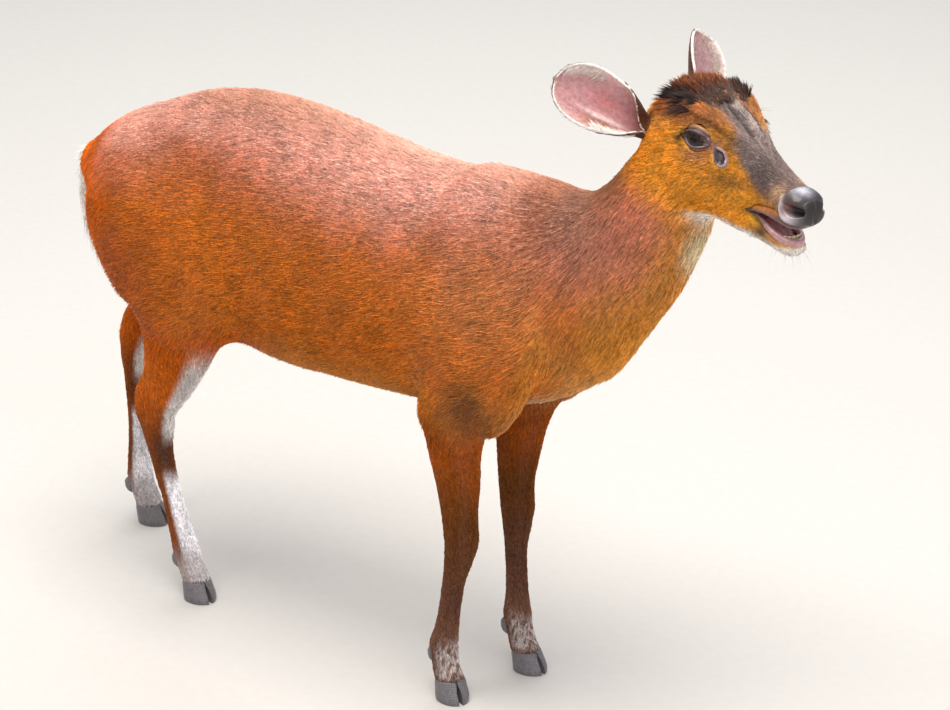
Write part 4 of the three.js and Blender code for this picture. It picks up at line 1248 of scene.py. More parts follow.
pupil_edge = add_node(tree, "MapRange", {"Value": pupil.outputs["Value"], "From Min": 0.30,
                                                   "From Max": 0.37})
with_pupil = add_node(tree, "Mix", {"Factor": pupil_edge.outputs[0], "A": rgba("#050404"),
                                              "B": iris_tone.outputs[2]}, data_type="RGBA")
limbus = add_node(tree, "MapRange", {"Value": rim.outputs["Value"], "From Min": 0.66, "From Max": 0.76})
with_rim = add_node(tree, "Mix", {"Factor": limbus.outputs[0], "A": with_pupil.outputs[2],
                                            "B": rgba("#1b1210")}, data_type="RGBA")
tree.links.new(with_rim.outputs[2], shader.inputs["Base Color"])

# %% Eyeballs
polar = np.linspace(0.001, np.pi - 0.001, 49)[:, None]
turn = np.linspace(0, 2 * np.pi, 64, endpoint=False)[None]
cornea = EYE_RADIUS - 0.9 + 0.9 * np.exp(-(polar / 0.62) ** 4)
for side, hand in SIDES:
    grid = from_left(eye_frame(polar, turn, cornea + 0 * turn), side)
    points, quads, fans = closed_surface(grid)
    iris = np.stack([np.sin(polar) * np.cos(turn), np.sin(polar) * np.sin(turn), 0 * polar * turn], -1)
    iris = np.vstack([iris.reshape(-1, 3), np.zeros((2, 3))])
    iris[:-2, 2] = (polar + 0 * turn).ravel() > np.pi / 2
    eye = add_piece(f"eyeball_{hand}", points, [quads, fans], eye_material, "eye",
                    attributes={"iris_place": iris})
    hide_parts(f"eye_{hand}")

# %% Lids
LID_FRONT, LID_BACK, LID_UP, LID_DOWN = 14.4, 13.0, 6.4, 5.4
# How far out from the lid's edge, and how high over the eyeball: upper lid, then lower lid
LID_OUT = np.array([-3.2, -1.4, -0.5, 0.0, 0.5, 1.2, 2.1, 3.0, 3.7, 4.7, 6.2, 8.0, 10.5])
LID_UPPER = np.array([-0.3, -0.2, 0.6, 1.3, 1.9, 2.4, 2.5, 1.7, 0.9, 1.7, 2.4, 1.5, -1.6])
LID_LOWER = np.array([-0.3, -0.2, 0.5, 0.9, 1.2, 1.3, 1.1, 1.0, 1.2, 1.2, 1.1, 0.5, -1.6])
UPPER_TONES = ["#3a2a2c", "#1a1415", "#151112", "#1a1516", "#3a2d30", "#5a474b", "#6a5356", "#3d2e2f",
               "#2e2322", "#7d5a4a", "#a3744e", "#b98046", "#c98a45"]
# the two pale tones at the lower lid's edge are a painted highlight
LOWER_TONES_WITH_HIGHLIGHT = ["#3a2a2c", "#4a3b40", "#8f8389", "#a0949a", "#4d3b3f", "#3d2e30", "#59433f", "#7d5950",
               "#96695a", "#ac7a60", "#bd8556", "#c58a4c", "#c98a45"]
lid_material = bare_skin("bare lid skin", 0.42, 0.0006, 0.00015, coat=0.25)


def lid_edge(turn):
    """The almond's edge as an angle from the gaze, a turn, and how far it stands off the eyeball."""
    cosine, sine = np.cos(turn), np.sin(turn)
    along = np.where(cosine > 0, LID_FRONT, LID_BACK) * np.sign(cosine) * np.abs(cosine) ** 1.15
    up = np.where(sine > 0, LID_UP, LID_DOWN) * np.sign(sine) * np.abs(sine) ** 1.1 - 0.06 * along
    off = 2.8 * ramp(along, 9.5, 14) + 1.2 * ramp(-along, 9, 13)
    return np.arcsin(np.hypot(along, up) / (EYE_RADIUS + off)), np.arctan2(up, along), off


for side, hand in SIDES:
    turn = np.linspace(0, 2 * np.pi, 96, endpoint=False)
    polar, heading, off = lid_edge(turn)
    upper = ramp(np.sin(heading), -0.25, 0.3)[:, None]
    height = LID_LOWER + (LID_UPPER - LID_LOWER) * upper
    height = height + off[:, None] * ramp(LID_OUT, -3, -0.5)
    local = eye_frame(polar[:, None] + LID_OUT / EYE_RADIUS, heading[:, None], EYE_RADIUS - 0.9 + height)
    grid = from_left(local, side)
    grid = np.concatenate([grid, grid[:1]])
    outward = grid - on_head(EYE_CENTRE * (1, side, 1))
    faces = sheet_faces(grid, outward)
    upper = np.concatenate([upper, upper[:1]])[..., None]
    tones_up, tones_down = (np.array([linear(code) for code in row]) for row in (UPPER_TONES, LOWER_TONES_WITH_HIGHLIGHT))
    tones = (tones_down + (tones_up - tones_down) * upper).reshape(-1, 3)
    corner_share = np.repeat(np.append(off, off[0]) / 2.8, len(LID_OUT)) * np.tile(LID_OUT < 1, len(grid))
    tones = paint(tones, "#8a6468", corner_share * 0.75)
    add_piece(f"lids_{hand}", grid.reshape(-1, 3), [faces], lid_material, "dark_coat",
              attributes=colour_layer(tones))


# %% [markdown]
# Lashes, whiskers and the stray long hairs are strands: closed tubes of three sides on a curved
# line, thin at the tip. They are all made at once as arrays of root, direction, bend and length.

# %% Strands
def strands(roots, directions, bends, lengths, widths, steps=4):
    """Point = root + t * length * direction + t squared * length * bend, three corners round it."""
    t = np.linspace(0, 1, steps)
    line = (roots[:, None] + t[None, :, None] * (lengths[:, None] * directions)[:, None]
            + (t ** 2)[None, :, None] * (lengths[:, None] * bends)[:, None])
    way = unit(np.gradient(line, axis=1))
    side = unit(np.cross(way, np.array([0.31, 0.23, 0.92])))
    other = np.cross(way, side)
    radius = widths[:, None] / 2 * (1 - 0.93 * t[None] ** 1.5)
    angle = np.arange(3) * 2 * np.pi / 3
    ring = (np.cos(angle)[:, None] * side[:, :, None] + np.sin(angle)[:, None] * other[:, :, None])
    corners = line[:, :, None] + radius[..., None, None] * ring
    sides = grid_faces(steps, 3)
    faces = np.vstack([sides[:, [0, 1, 2]], sides[:, [0, 2, 3]], [[0, 2, 1]],
                       [[3 * steps - 3, 3 * steps - 2, 3 * steps - 1]]])
    return corners.reshape(len(roots), -1, 3), faces, np.repeat(t, 3)


HEAD_ONLY = np.arange(count, len(SKIN))
head_tree = mathutils.kdtree.KDTree(len(HEAD_ONLY))
for number in HEAD_ONLY:
    head_tree.insert(SKIN[number], number)
head_tree.balance()


def skin_under(points):
    """The nearest point of the head's skin to each point, and the skin's normal there."""
    nearest = np.array([head_tree.find(point)[1] for point in points])
    return SKIN[nearest], SKIN_NORMAL[nearest]


lash_material, *_ = coat_material("dark guard hair", 0.4)
LASHES = 46
for side, hand in SIDES:
    turn = np.radians(np.linspace(22, 168, LASHES)) + rng.normal(0, 0.03, LASHES)
    polar, heading, off = lid_edge(turn)
    base = eye_frame(polar + 0.6 / EYE_RADIUS, heading, EYE_RADIUS + 0.9 + off)
    outer = unit(base - EYE_CENTRE)
    fan = np.cos(heading)[:, None] * EYE_FORWARD
    way = unit(0.62 * outer + 0.25 * fan - 0.9 * EYE_UP + rng.normal(0, 0.06, (LASHES, 3)))
    curl = 0.15 * fan + 0.1 * outer + 0.05 * EYE_UP
    length = rng.uniform(5.5, 8.0, LASHES)
    corners, faces, t = strands(base, way, curl, length, np.full(LASHES, 0.62), steps=5)
    corners = from_left(corners, side)
    if side < 0:
        faces = faces[:, ::-1]
    tone = np.tile(linear("#1a1314"), (LASHES * len(t), 1))
    add_piece(f"lashes_{hand}", corners.reshape(-1, 3), [repeated(faces, LASHES, len(t))], lash_material,
              "dark_coat", attributes=colour_layer(tone))

# %% [markdown]
# Below the front corner of each eye lies a scent gland: a drop shaped pit with a thick rim. It is a
# patch of rings round the drop. The outermost lies sunk in the skin, the rim stands up, and the
# middle dips into a hollow that is dug in the skin under it.

# %% Glands before the eyes
GLAND_CENTRE = np.array([24.2, 29.0, -8.6])
GLAND_AWAY = unit(np.array([0.34, 0.93, 0.08]))
GLAND_LONG = unit(np.array([-0.55, 0.10, 0.82]))
# Share of the drop's outline, height in millimetres, colour
GLAND_RINGS = [(1.65, -1.6, "#b98052"), (1.4, -0.1, "#9d7263"), (1.2, 0.9, "#7a5c5c"),
               (1.08, 1.5, "#5c474d"), (0.98, 1.6, "#5f4b53"), (0.88, 1.2, "#4a393f"),
               (0.76, 0.3, "#33262a"), (0.6, -0.9, "#33262a"), (0.4, -1.5, "#57434a"),
               (0.2, -1.3, "#6a5259"), (0.02, -1.2, "#6a5259")]
gland_material = bare_skin("moist gland skin", 0.42, 0.0008, 0.00015, coat=0.15)
for side, hand in SIDES:
    turn = np.linspace(0, 2 * np.pi, 49)
    wide = np.cross(GLAND_AWAY, GLAND_LONG)
    drop = 8.8 * np.cos(turn)[:, None] * GLAND_LONG
    drop = drop + (6.6 * np.sin(turn) * np.abs(np.sin(turn / 2)) ** 1.3)[:, None] * wide
    share, height, _ = zip(*GLAND_RINGS)
    share, height = np.array(share), np.array(height)
    normal = turn_on_head(GLAND_AWAY * (1, side, 1))
    rim_points = skin_under(from_left(GLAND_CENTRE + 1.65 * drop, side))[0]
    middle = rim_points.mean(0) + 0.9 * normal
    base = middle + (rim_points - middle)[:, None] * (share / 1.65)[None, :, None]
    narrow = 0.35 + 0.65 * np.abs(np.sin(turn / 2)) ** 0.8
    grid = base + normal * (height[None] * narrow[:, None])[..., None]
    faces = sheet_faces(grid, np.broadcast_to(normal, grid.shape))
    tones = np.array([linear(code) for _, _, code in GLAND_RINGS])
    tones = np.broadcast_to(tones, grid.shape).reshape(-1, 3)
    # painted highlight: the rim's lower end painted pale, as it catches the light from above
    lit_lower_rim = np.outer(ramp(-np.cos(turn), 0.2, 0.8), np.abs(share - 1.02) < 0.1)
    tones = paint(tones, "#a897a0", lit_lower_rim.ravel())
    add_piece(f"gland_{hand}", grid.reshape(-1, 3), [faces], gland_material, "nose",
              attributes=colour_layer(tones))


# %% [markdown]
# The nose pad is bare, wet, pebbled leather. It is read off from distances as the skin is, with finer
# cells: a block with rounded edges, two comma shaped nostrils, thick wings round them and a groove
# down the middle.

# %% Nose pad
NOSE_PAD = [(86, -28, -50, 14, 2.3), (96, -25.4, -58, 18.5, 2.4), (106, -28.2, -58.5, 17.5, 2.4),
            (113, -33, -55, 13, 2.3)]
NOSE_VOXEL = 0.6
NOSE_FORMS = [
    # u, v, w, radii, height: on both sides
    ((100, 17.5, -49), (10, 5, 4.5), 2.2),  # rim under the nostril
    ((91.5, 19, -41), (4.5, 4, 9), 2.2),  # wing behind the nostril
    ((108, 10, -33), (6, 7, 5), 0.8),  # pad above the nostril
    ((114, 0, -46), (6, 1.3, 14), -0.9),  # groove down the middle
    ((106, 0, -58), (9, 1.3, 5), -1.2),
]
NOSTRIL_LINE = [(94, 22, -34, 1.6, 1.8, 3.4), (99, 20.5, -37.5, 3.0, 3.2, 6), (105, 15.5, -41, 4.8, 5.0, 7),
                (111, 10, -42, 3.6, 4.0, 6)]


def nose_surface():
    """The pad's distances with its forms, less the nostrils, read off at 0.6 mm."""
    pad = closed_surface(on_head(loft(level_rows(NOSE_PAD), domes=(0, 3.5), facing=FORE)))
    first, size = block_index(pad[0].min(0) - 4, pad[0].max(0) + 4, NOSE_VOXEL)
    block = distance_to(pad, first, size, NOSE_VOXEL, reach=6.0)
    for (u, v, w), radii, height in NOSE_FORMS:
        for side in (-1, 1) if v else (1,):
            swell(block, first, NOSE_VOXEL, on_head([u, side * v, w]), radii, height, HEAD_TURN)
    for side in (-1, 1):
        rows = np.array(NOSTRIL_LINE) * (1, side, 1, 1, 1, 1)
        hole = closed_surface(on_head(loft(rows, sides=28, domes=(2, 3))))
        block = cut_away(block, distance_to(hole, first, size, NOSE_VOXEL), 1.6)
    return surface_of(block, first, NOSE_VOXEL)


points, quads = nose_surface()
normal = vertex_normals(points, quads, np.zeros((0, 3), int))[0]
place = in_head(points)
mirrored = np.column_stack([place[:, 0], np.abs(place[:, 1]), place[:, 2]])
tone = plain("#2a2325", len(points))
tone = paint(tone, "#574c50", ramp(place[:, 2], -33, -25) * (1 - ramp(place[:, 0], 98, 108)))
# painted highlight: a bluish-white patch on top of the pad, the wet leather's reflection of overhead light
tone = paint(tone, "#b4b4c2", near(place, (102, -1, -28), (8, 7, 5)) * 0.9)
tone = paint(tone, "#dccfd5", near(mirrored, (99, 20, -48.5), (12, 8, 5)))
tone = paint(tone, "#dccfd5", near(mirrored, (90.5, 20, -41), (4.5, 8, 10)))
tone = paint(tone, "#8a5f58", near(mirrored, (99, 14, -40.5), (8, 5, 6)) * 0.95)
# painted shade: near black deep in each nostril, over its pinkish lining
tone = paint(tone, "#1c1416", near(mirrored, (104, 9, -41), (7, 5, 6)) * 0.95)
nose_material = bare_skin("wet pebbled nose leather", 0.36, 0.0012, 0.0003, coat=0.3)
nose = add_piece("nose_leather", points, [quads], nose_material, "nose", attributes=colour_layer(tone))
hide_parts("nose_pad")

# %% [markdown]
# Round the open mouth run the lips, bare and moist: the lower one a thick pink rim, the upper one
# thinner and darker. Each is a tube along the mouth's edge from one corner round the front to the
# other. The tongue has a groove and fine bumps, and eight small spade shaped teeth stand in a row.

# %% Lips
def mirrored_line(half):
    """A line given for her right side up to the middle, carried on round to her left."""
    half = np.asarray(half, float)
    return np.vstack([half, (half * ([1, -1] + [1] * (half.shape[1] - 2)))[-2::-1]])


# u, v, w, half thickness up, down, across
LOWER_LIP = [(44, -18.0, -52.4, 0.8, 0.8, 1.0), (52, -17.4, -53.4, 1.2, 1.2, 1.4),
             (59, -16.2, -54.8, 1.6, 1.7, 1.7), (65, -14.8, -58.4, 2.0, 2.3, 2.0),
             (70, -13.6, -63.0, 2.2, 3.2, 2.3), (78, -12.2, -67.4, 2.3, 4.2, 2.6),
             (86, -9.8, -70.8, 2.4, 5.0, 2.8), (92.4, -5.3, -73.0, 2.4, 5.6, 2.9),
             (94.7, 0, -73.6, 2.4, 5.8, 2.9)]
UPPER_LIP = [(44, -18.2, -51.8, 0.7, 0.7, 0.9), (52, -18.2, -51.6, 0.9, 1.0, 1.1),
             (60, -17.8, -50.2, 3.8, 1.5, 1.6),
             (70, -16.8, -49.8, 5.2, 1.8, 2.2), (82, -15.6, -52.0, 7.0, 1.8, 2.2),
             (92, -14.2, -54.6, 3.0, 2.0, 1.9), (100, -10.4, -57.2, 1.6, 1.8, 1.7),
             (103, 0, -58.4, 1.6, 1.6, 1.7)]
lip_material = bare_skin("moist lip", 0.3, 0.0009, 0.0002, coat=0.6)
for name, line, light, dark in (("lip_lower", LOWER_LIP, "#b98a8c", "#35241f"),
                                ("lip_upper", UPPER_LIP, "#6f5150", "#35241f")):
    rows = mirrored_line(line)
    grid = loft(rows, hint=(0, 0, 1), sides=16, steps=5, domes=(1.5, 1.5))
    points, quads, fans = closed_surface(on_head(grid))
    place = in_head(points)
    tone = plain(light, len(points))
    tone = paint(tone, dark, (1 - ramp(place[:, 0], 60, 76)) * 0.9)
    tone = paint(tone, "#a8662c", ramp(place[:, 2], -50.5, -48) * ramp(place[:, 0], 50, 60))
    tone = tone * (1 + 0.15 * ripple(points, 7, 31))[:, None]
    add_piece(name, points, [quads, fans], lip_material, "tongue", attributes=colour_layer(tone))

# %% Tongue
TONGUE = [(52, -55, -62, 9.5, 2), (60, -58.5, -66, 10.2, 2), (68, -62, -70, 10.2, 2),
          (76, -66.5, -74.5, 9.2, 2), (82, -70.5, -78, 7.0, 2)]
grid = loft(level_rows(TONGUE), sides=36, steps=8, domes=(0, 6), facing=FORE)
upper_half = grid[..., 2] > grid[..., 2].mean(1, keepdims=True)
grid[..., 2] -= 1.3 * np.exp(-(grid[..., 1] / 2.2) ** 2) * upper_half  # groove along the middle
points, quads, fans = closed_surface(on_head(grid))
tone = plain("#b27a80", len(points))
tone = paint(tone, "#8a5259", (1 - ramp(in_head(points)[:, 0], 54, 70)) * 0.8)
tongue = add_piece("tongue_flesh", points, [quads, fans], bare_skin("wet tongue", 0.3, 0.001, 0.0003, 0.6),
                   "tongue", attributes=colour_layer(tone))
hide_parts("tongue")

# %% Teeth
INCISORS = 8
crown_rows = [(0, 1.3, 1.0), (2.2, 1.5, 1.0), (4.4, 1.75, 0.9), (6.2, 1.8, 0.65), (6.9, 1.5, 0.35)]
teeth_points, teeth_quads, teeth_fans = [], [], []
for i in range(INCISORS):
    swing = math.radians((i - (INCISORS - 1) / 2) * 20)
    outward = np.array([math.cos(swing), math.sin(swing), 0])
    sideways = np.array([-math.sin(swing), math.cos(swing), 0])
    upward = unit(np.array([0.45 * outward[0], 0.45 * outward[1], 1.0]))
    foot = np.array([80.0 + 9 * math.cos(swing), 9.2 * math.sin(swing), -74.6])
    rows = np.array(crown_rows)
    rows[:, 0] *= 1 + 0.04 * math.cos(5 * i)
    angle = np.linspace(0, 2 * np.pi, 14, endpoint=False)
    ring = (np.cos(angle)[:, None] * sideways)[None] * rows[:, 1][:, None, None]
    ring = ring + (np.sin(angle)[:, None] * outward)[None] * rows[:, 2][:, None, None]
    grid = foot + rows[:, 0][:, None, None] * upward + ring
    part = closed_surface(on_head(grid))
    base = sum(len(block) for block in teeth_points)
    teeth_points.append(part[0])
    teeth_quads.append(part[1] + base)
    teeth_fans.append(part[2] + base)
points = np.vstack(teeth_points)
enamel, tree, shader = new_material("worn enamel", Roughness=0.28, Subsurface_Weight=0.15,
                                    Subsurface_Scale=0.002)
place = add_node(tree, "TexCoord").outputs["Object"]
stain = add_node(tree, "TexNoise", {"Vector": place, "Scale": 500, "Detail": 3})
tone = add_node(tree, "Mix", {"Factor": stain.outputs["Fac"], "A": rgba("#b79b66"),
                                        "B": rgba("#ece2c6")}, data_type="RGBA")
tree.links.new(tone.outputs[2], shader.inputs["Base Color"])
teeth = add_piece("incisors", points, [np.vstack(teeth_quads), np.vstack(teeth_fans)], enamel, "enamel")
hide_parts("teeth")

# %% [markdown]
# Each ear is a cupped leaf, rolled to a tube at its root: every cross line of the leaf is an arc whose
# radius and sweep come from a table along the ear. The inside is bare pink skin with soft ridges,
# the outside carries short dark hair, and white hairs fringe the rim and the lower fold inside.

# %% Ear shapes
EAR_THICKNESS = 1.8
# Share of the length, half width, sweep in degrees
EAR = [(0, 9, 165), (0.12, 11, 140), (0.25, 17, 105), (0.4, 23, 78), (0.55, 26.5, 66), (0.7, 27, 58),
       (0.83, 24, 52), (0.92, 18.5, 47), (0.97, 12.5, 43), (1.0, 4, 38)]
EARS = {
    "right": dict(length=96, root=(-66, -30, -6), along=(-0.56, -0.68, 0.5), opening=(0.82, -0.46, 0.33)),
    "left": dict(length=91, root=(-54, 17, -9), along=(-0.55, 0.35, 0.77), opening=(0.78, 0.40, 0.38)),
}
EAR_ROWS, EAR_COLUMNS = 72, 49
# the left ear's inside is painted greyer and darker than the right's: painted shade on the same skin
INNER_WITH_PAINTED_SHADE = {"right": "#c08a8c", "left": "#a9898d"}


def ear_axes(hand):
    """Root, the way along the ear, the way it faces and the way across it, in the head's frame."""
    pose = EARS[hand]
    along = unit(np.array(pose["along"], float))
    opening = np.array(pose["opening"], float)
    facing = unit(opening - opening.dot(along) * along)
    return np.array(pose["root"], float), along, facing, np.cross(along, facing)


def bump_at(value, centre, width):
    """exp(-((value - centre) / width) squared)."""
    return np.exp(-((value - centre) / width) ** 2)


def ear_sheet(hand, inset, side_shares, t):
    """Root + length + radius * (sin a across, (1 - cos a) facing), a from -sweep to sweep, with ridges."""
    root, along, facing, across = ear_axes(hand)
    share, half, sweep = rows_at(EAR, t * (len(EAR) - 1)).T
    limit = np.radians(sweep)
    radius = half / np.sin(np.minimum(limit, np.pi / 2))
    inner = np.maximum(radius - inset, 0.3 * radius)
    roll = np.radians(60) * (1 - ramp(share, 0.12, 0.5))
    angle = limit[:, None] * side_shares[None] + roll[:, None] * ramp(side_shares, 0, 1)[None]
    ridges = 0.6 * np.cos(side_shares * 15)[None] * np.sin(np.pi * np.clip(share * 1.1, 0, 1))[:, None]
    fold = bump_at(side_shares, -0.36, 0.10) - bump_at(side_shares, -0.62, 0.17)
    ridges = ridges + 2.6 * fold[None] * bump_at(share, 0.42, 0.24)[:, None]
    depth = inner[:, None] - (ridges if inset else 0)
    lean = 10 * share ** 2 - 9 + radius
    flare = 1.6 * np.abs(side_shares[None]) ** 6 * np.sin(np.pi * np.clip(share, 0, 1))[:, None]
    return (root + (share * EARS[hand]["length"])[:, None, None] * along
            + (inner[:, None] * np.sin(angle))[..., None] * across
            + (lean[:, None] - depth * np.cos(angle) - flare)[..., None] * facing), share


# %% Ear leaves
ear_parts = {}
for hand in ("right", "left"):
    t = np.linspace(0, 1, EAR_ROWS)
    across_shares = np.sin(np.linspace(-np.pi / 2, np.pi / 2, EAR_COLUMNS))
    outer, share = ear_sheet(hand, 0.0, across_shares, t)
    inner, _ = ear_sheet(hand, EAR_THICKNESS, across_shares[::-1], t)
    local = np.concatenate([outer, inner], 1)
    points, quads, fans = closed_surface(on_head(local))
    ear_parts[hand] = (outer, inner[:, ::-1], share, across_shares)
    columns = np.concatenate([across_shares, across_shares[::-1]])
    is_inner = np.repeat([False, True], EAR_COLUMNS)[None] & np.ones((EAR_ROWS, 1), bool)
    edge = np.abs(columns)[None] * np.ones((EAR_ROWS, 1))
    along_ear = share[:, None] * np.ones((1, 2 * EAR_COLUMNS))
    tone = np.where(is_inner.ravel()[:, None], linear(INNER_WITH_PAINTED_SHADE[hand]), linear("#4a2f24"))
    tone = paint(tone, "#dcb9b3", (is_inner * ramp(edge, 0.5, 0.85)).ravel() * 0.6)
    streak = bump_at(columns, 0.12, 0.22)[None] * bump_at(along_ear, 0.5, 0.16)
    tone = paint(tone, "#b9625f", (is_inner * streak).ravel() * 0.7)
    near_fold = bump_at(along_ear, 0.42, 0.22)
    crease = bump_at(columns, -0.36, 0.08)[None] * near_fold
    tone = paint(tone, "#f0dfd8", (is_inner * crease).ravel() * 0.8)
    # painted shade: orange-brown in the hollow below the fold
    below = ramp(-columns, 0.42, 0.55)[None] * (1 - ramp(-columns, 0.75, 0.92)[None]) * near_fold
    tone = paint(tone, "#a3683f", (is_inner * below).ravel())
    tone = paint(tone, "#a96f6c", (is_inner * (1 - ramp(along_ear, 0.1, 0.42))).ravel() * 0.7)
    tone = paint(tone, "#f0e4de", ramp(edge, 0.92, 0.99).ravel())
    tone = paint(tone, "#c07a35", (~is_inner * (1 - ramp(along_ear, 0.0, 0.12))).ravel())
    tone = np.vstack([tone, tone[:1], tone[-1:]])
    ear = add_piece(f"ear_leaf_{hand}", points, [quads, fans],
                    bare_skin(f"thin ear skin {hand}", 0.5, 0.0011, 0.0002), "ear_skin",
                    attributes=colour_layer(tone))
    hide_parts(f"ear_{hand}")

# %% Ear hair
def ear_hair(hand, count, inside, place_range, edge_range, length, width, code, lean, lift, away=0.0):
    """Tufts rooted on one face of an ear: they point to the tip, outwards past the rim, or inwards."""
    outer, inner, share, columns = ear_parts[hand]
    sheet = inner if inside else outer
    i = rng.uniform(*place_range, count) * (EAR_ROWS - 1)
    edge = rng.uniform(*edge_range, count)
    j = np.interp(edge, columns, np.arange(EAR_COLUMNS))
    i0, j0 = np.minimum(i.astype(int), EAR_ROWS - 2), np.minimum(j.astype(int), EAR_COLUMNS - 2)
    fi, fj = (i - i0)[:, None], (j - j0)[:, None]
    corner = sheet[i0, j0], sheet[i0 + 1, j0], sheet[i0, j0 + 1], sheet[i0 + 1, j0 + 1]
    root = (corner[0] * (1 - fi) + corner[1] * fi) * (1 - fj) + (corner[2] * (1 - fi) + corner[3] * fi) * fj
    up = unit(corner[1] - corner[0] + 1e-6)
    over = unit(corner[2] - corner[0] + 1e-6)
    _, _, facing, _ = ear_axes(hand)
    normal = unit(np.cross(up, over))
    normal = normal * np.sign((normal @ facing))[:, None] * (1 if inside else -1)
    lie = unit(up + lean * np.sign(edge)[:, None] * np.abs(edge)[:, None] * over + away * normal
               + rng.normal(0, 0.16, (count, 3)))
    lie = unit(lie - (lie * normal).sum(1, keepdims=True) * normal * (1 if away == 0 else 0))
    lengths = length * rng.uniform(0.6, 1.25, count)
    corners = wedges(root, normal, lie, lengths, np.full(count, width), np.full(count, lift))
    tones = linear(code) * (1 + rng.normal(0, 0.12, (count, 1)).clip(-0.3, 0.3))
    # painted shade at the root corners, painted light at the tip
    colours = tones[:, None] * np.array([0.75, 0.75, 1.0, 1.08])[None, :, None]
    spots = np.column_stack([0.25 + 0.24 * edge + (0.5 if inside else 0), i / EAR_ROWS])
    return on_head(corners), colours, spots


for hand in ("right", "left"):
    sets = [
        ear_hair(hand, 6500, False, (0.16, 0.93), (-0.96, 0.96), 5, 0.62, "#5a3a2a", 0.1, 0.10),
        ear_hair(hand, 2200, False, (0.0, 0.34), (-0.99, 0.99), 6.5, 0.7, "#50301f", 0.1, 0.12),
        ear_hair(hand, 1500, True, (0.2, 0.95), (-0.95, 0.95), 4, 0.3, "#dcbab4", 0.5, 0.10),
        ear_hair(hand, 1400, True, (0.3, 0.985), (-0.995, -0.95), 2.6, 0.45, "#fbf6f0", 0.6, 0.15),
        ear_hair(hand, 1400, True, (0.3, 0.985), (0.95, 0.995), 2.6, 0.45, "#fbf6f0", 0.6, 0.15),
        ear_hair(hand, 380, True, (0.48, 0.82), (0.72, 0.97), 12, 0.32, "#f6e9e2", -2.2, 0.12, 0.05),
        ear_hair(hand, 260, True, (0.10, 0.42), (-0.97, -0.7), 8, 0.4, "#f8efe8", -1.0, 0.2, 0.06),
    ]
    corners, colours, spots = (np.concatenate(blocks) for blocks in zip(*sets))
    add_tufts(f"coat_ear_{hand}", corners, TUFT_FACES, colours, spots, hair_material, "ear_skin")

# %% [markdown]
# A crest of longer hair stands on her crown: grey-brown in front, red-brown in the middle, black at
# the sides with orange under it. Its tufts are longer wedges of two lengths, rooted on the skin and
# bent back. The tail hangs as a fan of long white hair with an orange back.

# %% Long tufts
LONG_FACES = np.array([(0, 3, 4), (0, 4, 1), (1, 4, 5), (1, 5, 2), (2, 5, 3), (2, 3, 0), (3, 6, 4),
                       (4, 6, 5), (5, 6, 3), (0, 1, 2)])


def long_tufts(roots, normals, lie, length, width, bend):
    """Three corners at the root, three at 55 % of the length, and a tip carried on by the bend."""
    across = unit(np.cross(normals, lie))
    back = unit(np.cross(lie, across))
    start = roots - 0.06 * length[:, None] * lie
    middle = roots + 0.55 * length[:, None] * lie + 0.3 * length[:, None] * bend
    tip = roots + length[:, None] * lie + length[:, None] * bend
    spread = [(-0.5, -0.2), (0.5, -0.2), (0.0, 0.4)]
    rings = [centre + (a * across + b * back) * (width * size)[:, None]
             for centre, size in ((start, 0.8), (middle, 0.75)) for a, b in spread]
    return np.stack(rings + [tip], 1)


def shaded(tones, levels=(0.6, 0.6, 0.7, 0.95, 0.95, 1.0, 1.1)):
    """Each tuft's colour at its corners, with painted shade at the root and painted light at the tip."""
    return tones[:, None] * np.array(levels)[None, :, None]


# %% Crest
CREST_TUFTS = 6200
u = rng.uniform(-58, 12, CREST_TUFTS)
limit = np.interp(u, [-58, -52, -47, -40, -30, -16, 0, 8, 12], [25, 40, 62, 76, 72, 62, 48, 32, 12])
share = rng.uniform(-1, 1, CREST_TUFTS)
turn = np.radians(limit * share)
roots, normals = skin_under(on_head(np.column_stack([u, 32 * np.sin(turn),
                                                     8 + 36 * np.cos(turn) - 0.004 * (u + 30) ** 2])))
away = np.degrees(np.abs(turn))
hand_side = np.sign(share)
flank = ramp(away, 28, 44)
front = ramp(u, -20, -6) * (1 - flank)
length = (11 + 3 * flank - 4 * front) * rng.uniform(0.5, 1.25, CREST_TUFTS)
length = length * (0.55 + 0.45 * ramp(u, -58, -48)) * (0.5 + 0.5 * (1 - ramp(u, 4, 12)))
lock = (np.floor(u / 4.5) * 7 + np.floor(16 * np.sin(turn) / 2.2) * 13).astype(int) % 97
lock_lean = np.random.default_rng(7).normal(0, 0.26, (97, 3))[lock]
upright = np.where(hand_side > 0, 0.75, 0.25)
lean = np.column_stack([-0.55 - 0.3 * flank * (1 - upright) - 0.2 * front,
                        (0.7 - 0.5 * upright) * hand_side * flank,
                        0.85 - 0.8 * flank * (1 - upright) - 0.3 * front])
lie = unit(turn_on_head(lean + lock_lean + rng.normal(0, 0.1, (CREST_TUFTS, 3))) + 0.15 * normals)
bend = turn_on_head(np.column_stack([-0.15 + 0 * u, 0.1 * hand_side * flank, -0.05 - 0.2 * flank]))
tone = plain("#5e3524", CREST_TUFTS)
tone = paint(tone, "#4d4240", front * 0.9)
tone = paint(tone, "#1b1314", flank * (1 - ramp(away, 54, 62)) * 0.94)
tone = paint(tone, "#b8641f", ramp(away, 54, 62) * ramp(-u, 22, 32) * 0.9)
tone = paint(tone, "#2a1c1a", rng.random(CREST_TUFTS) ** 2 * 0.9)
corners = long_tufts(roots, normals, lie, length, np.full(CREST_TUFTS, 1.05), bend)
crest_colours = shaded(tone)
rusty = (rng.random(CREST_TUFTS) < 0.4) * (1 - flank) * (1 - 0.7 * front)
crest_colours[:, 6] += rusty[:, None] * (linear("#c8702c") - crest_colours[:, 6])
spots = np.column_stack([0.5 + 0.45 * share, 0.02 + 0.9 * (u + 60) / 75])
add_tufts("crest", corners, LONG_FACES, crest_colours, spots, hair_material, "dark_coat")

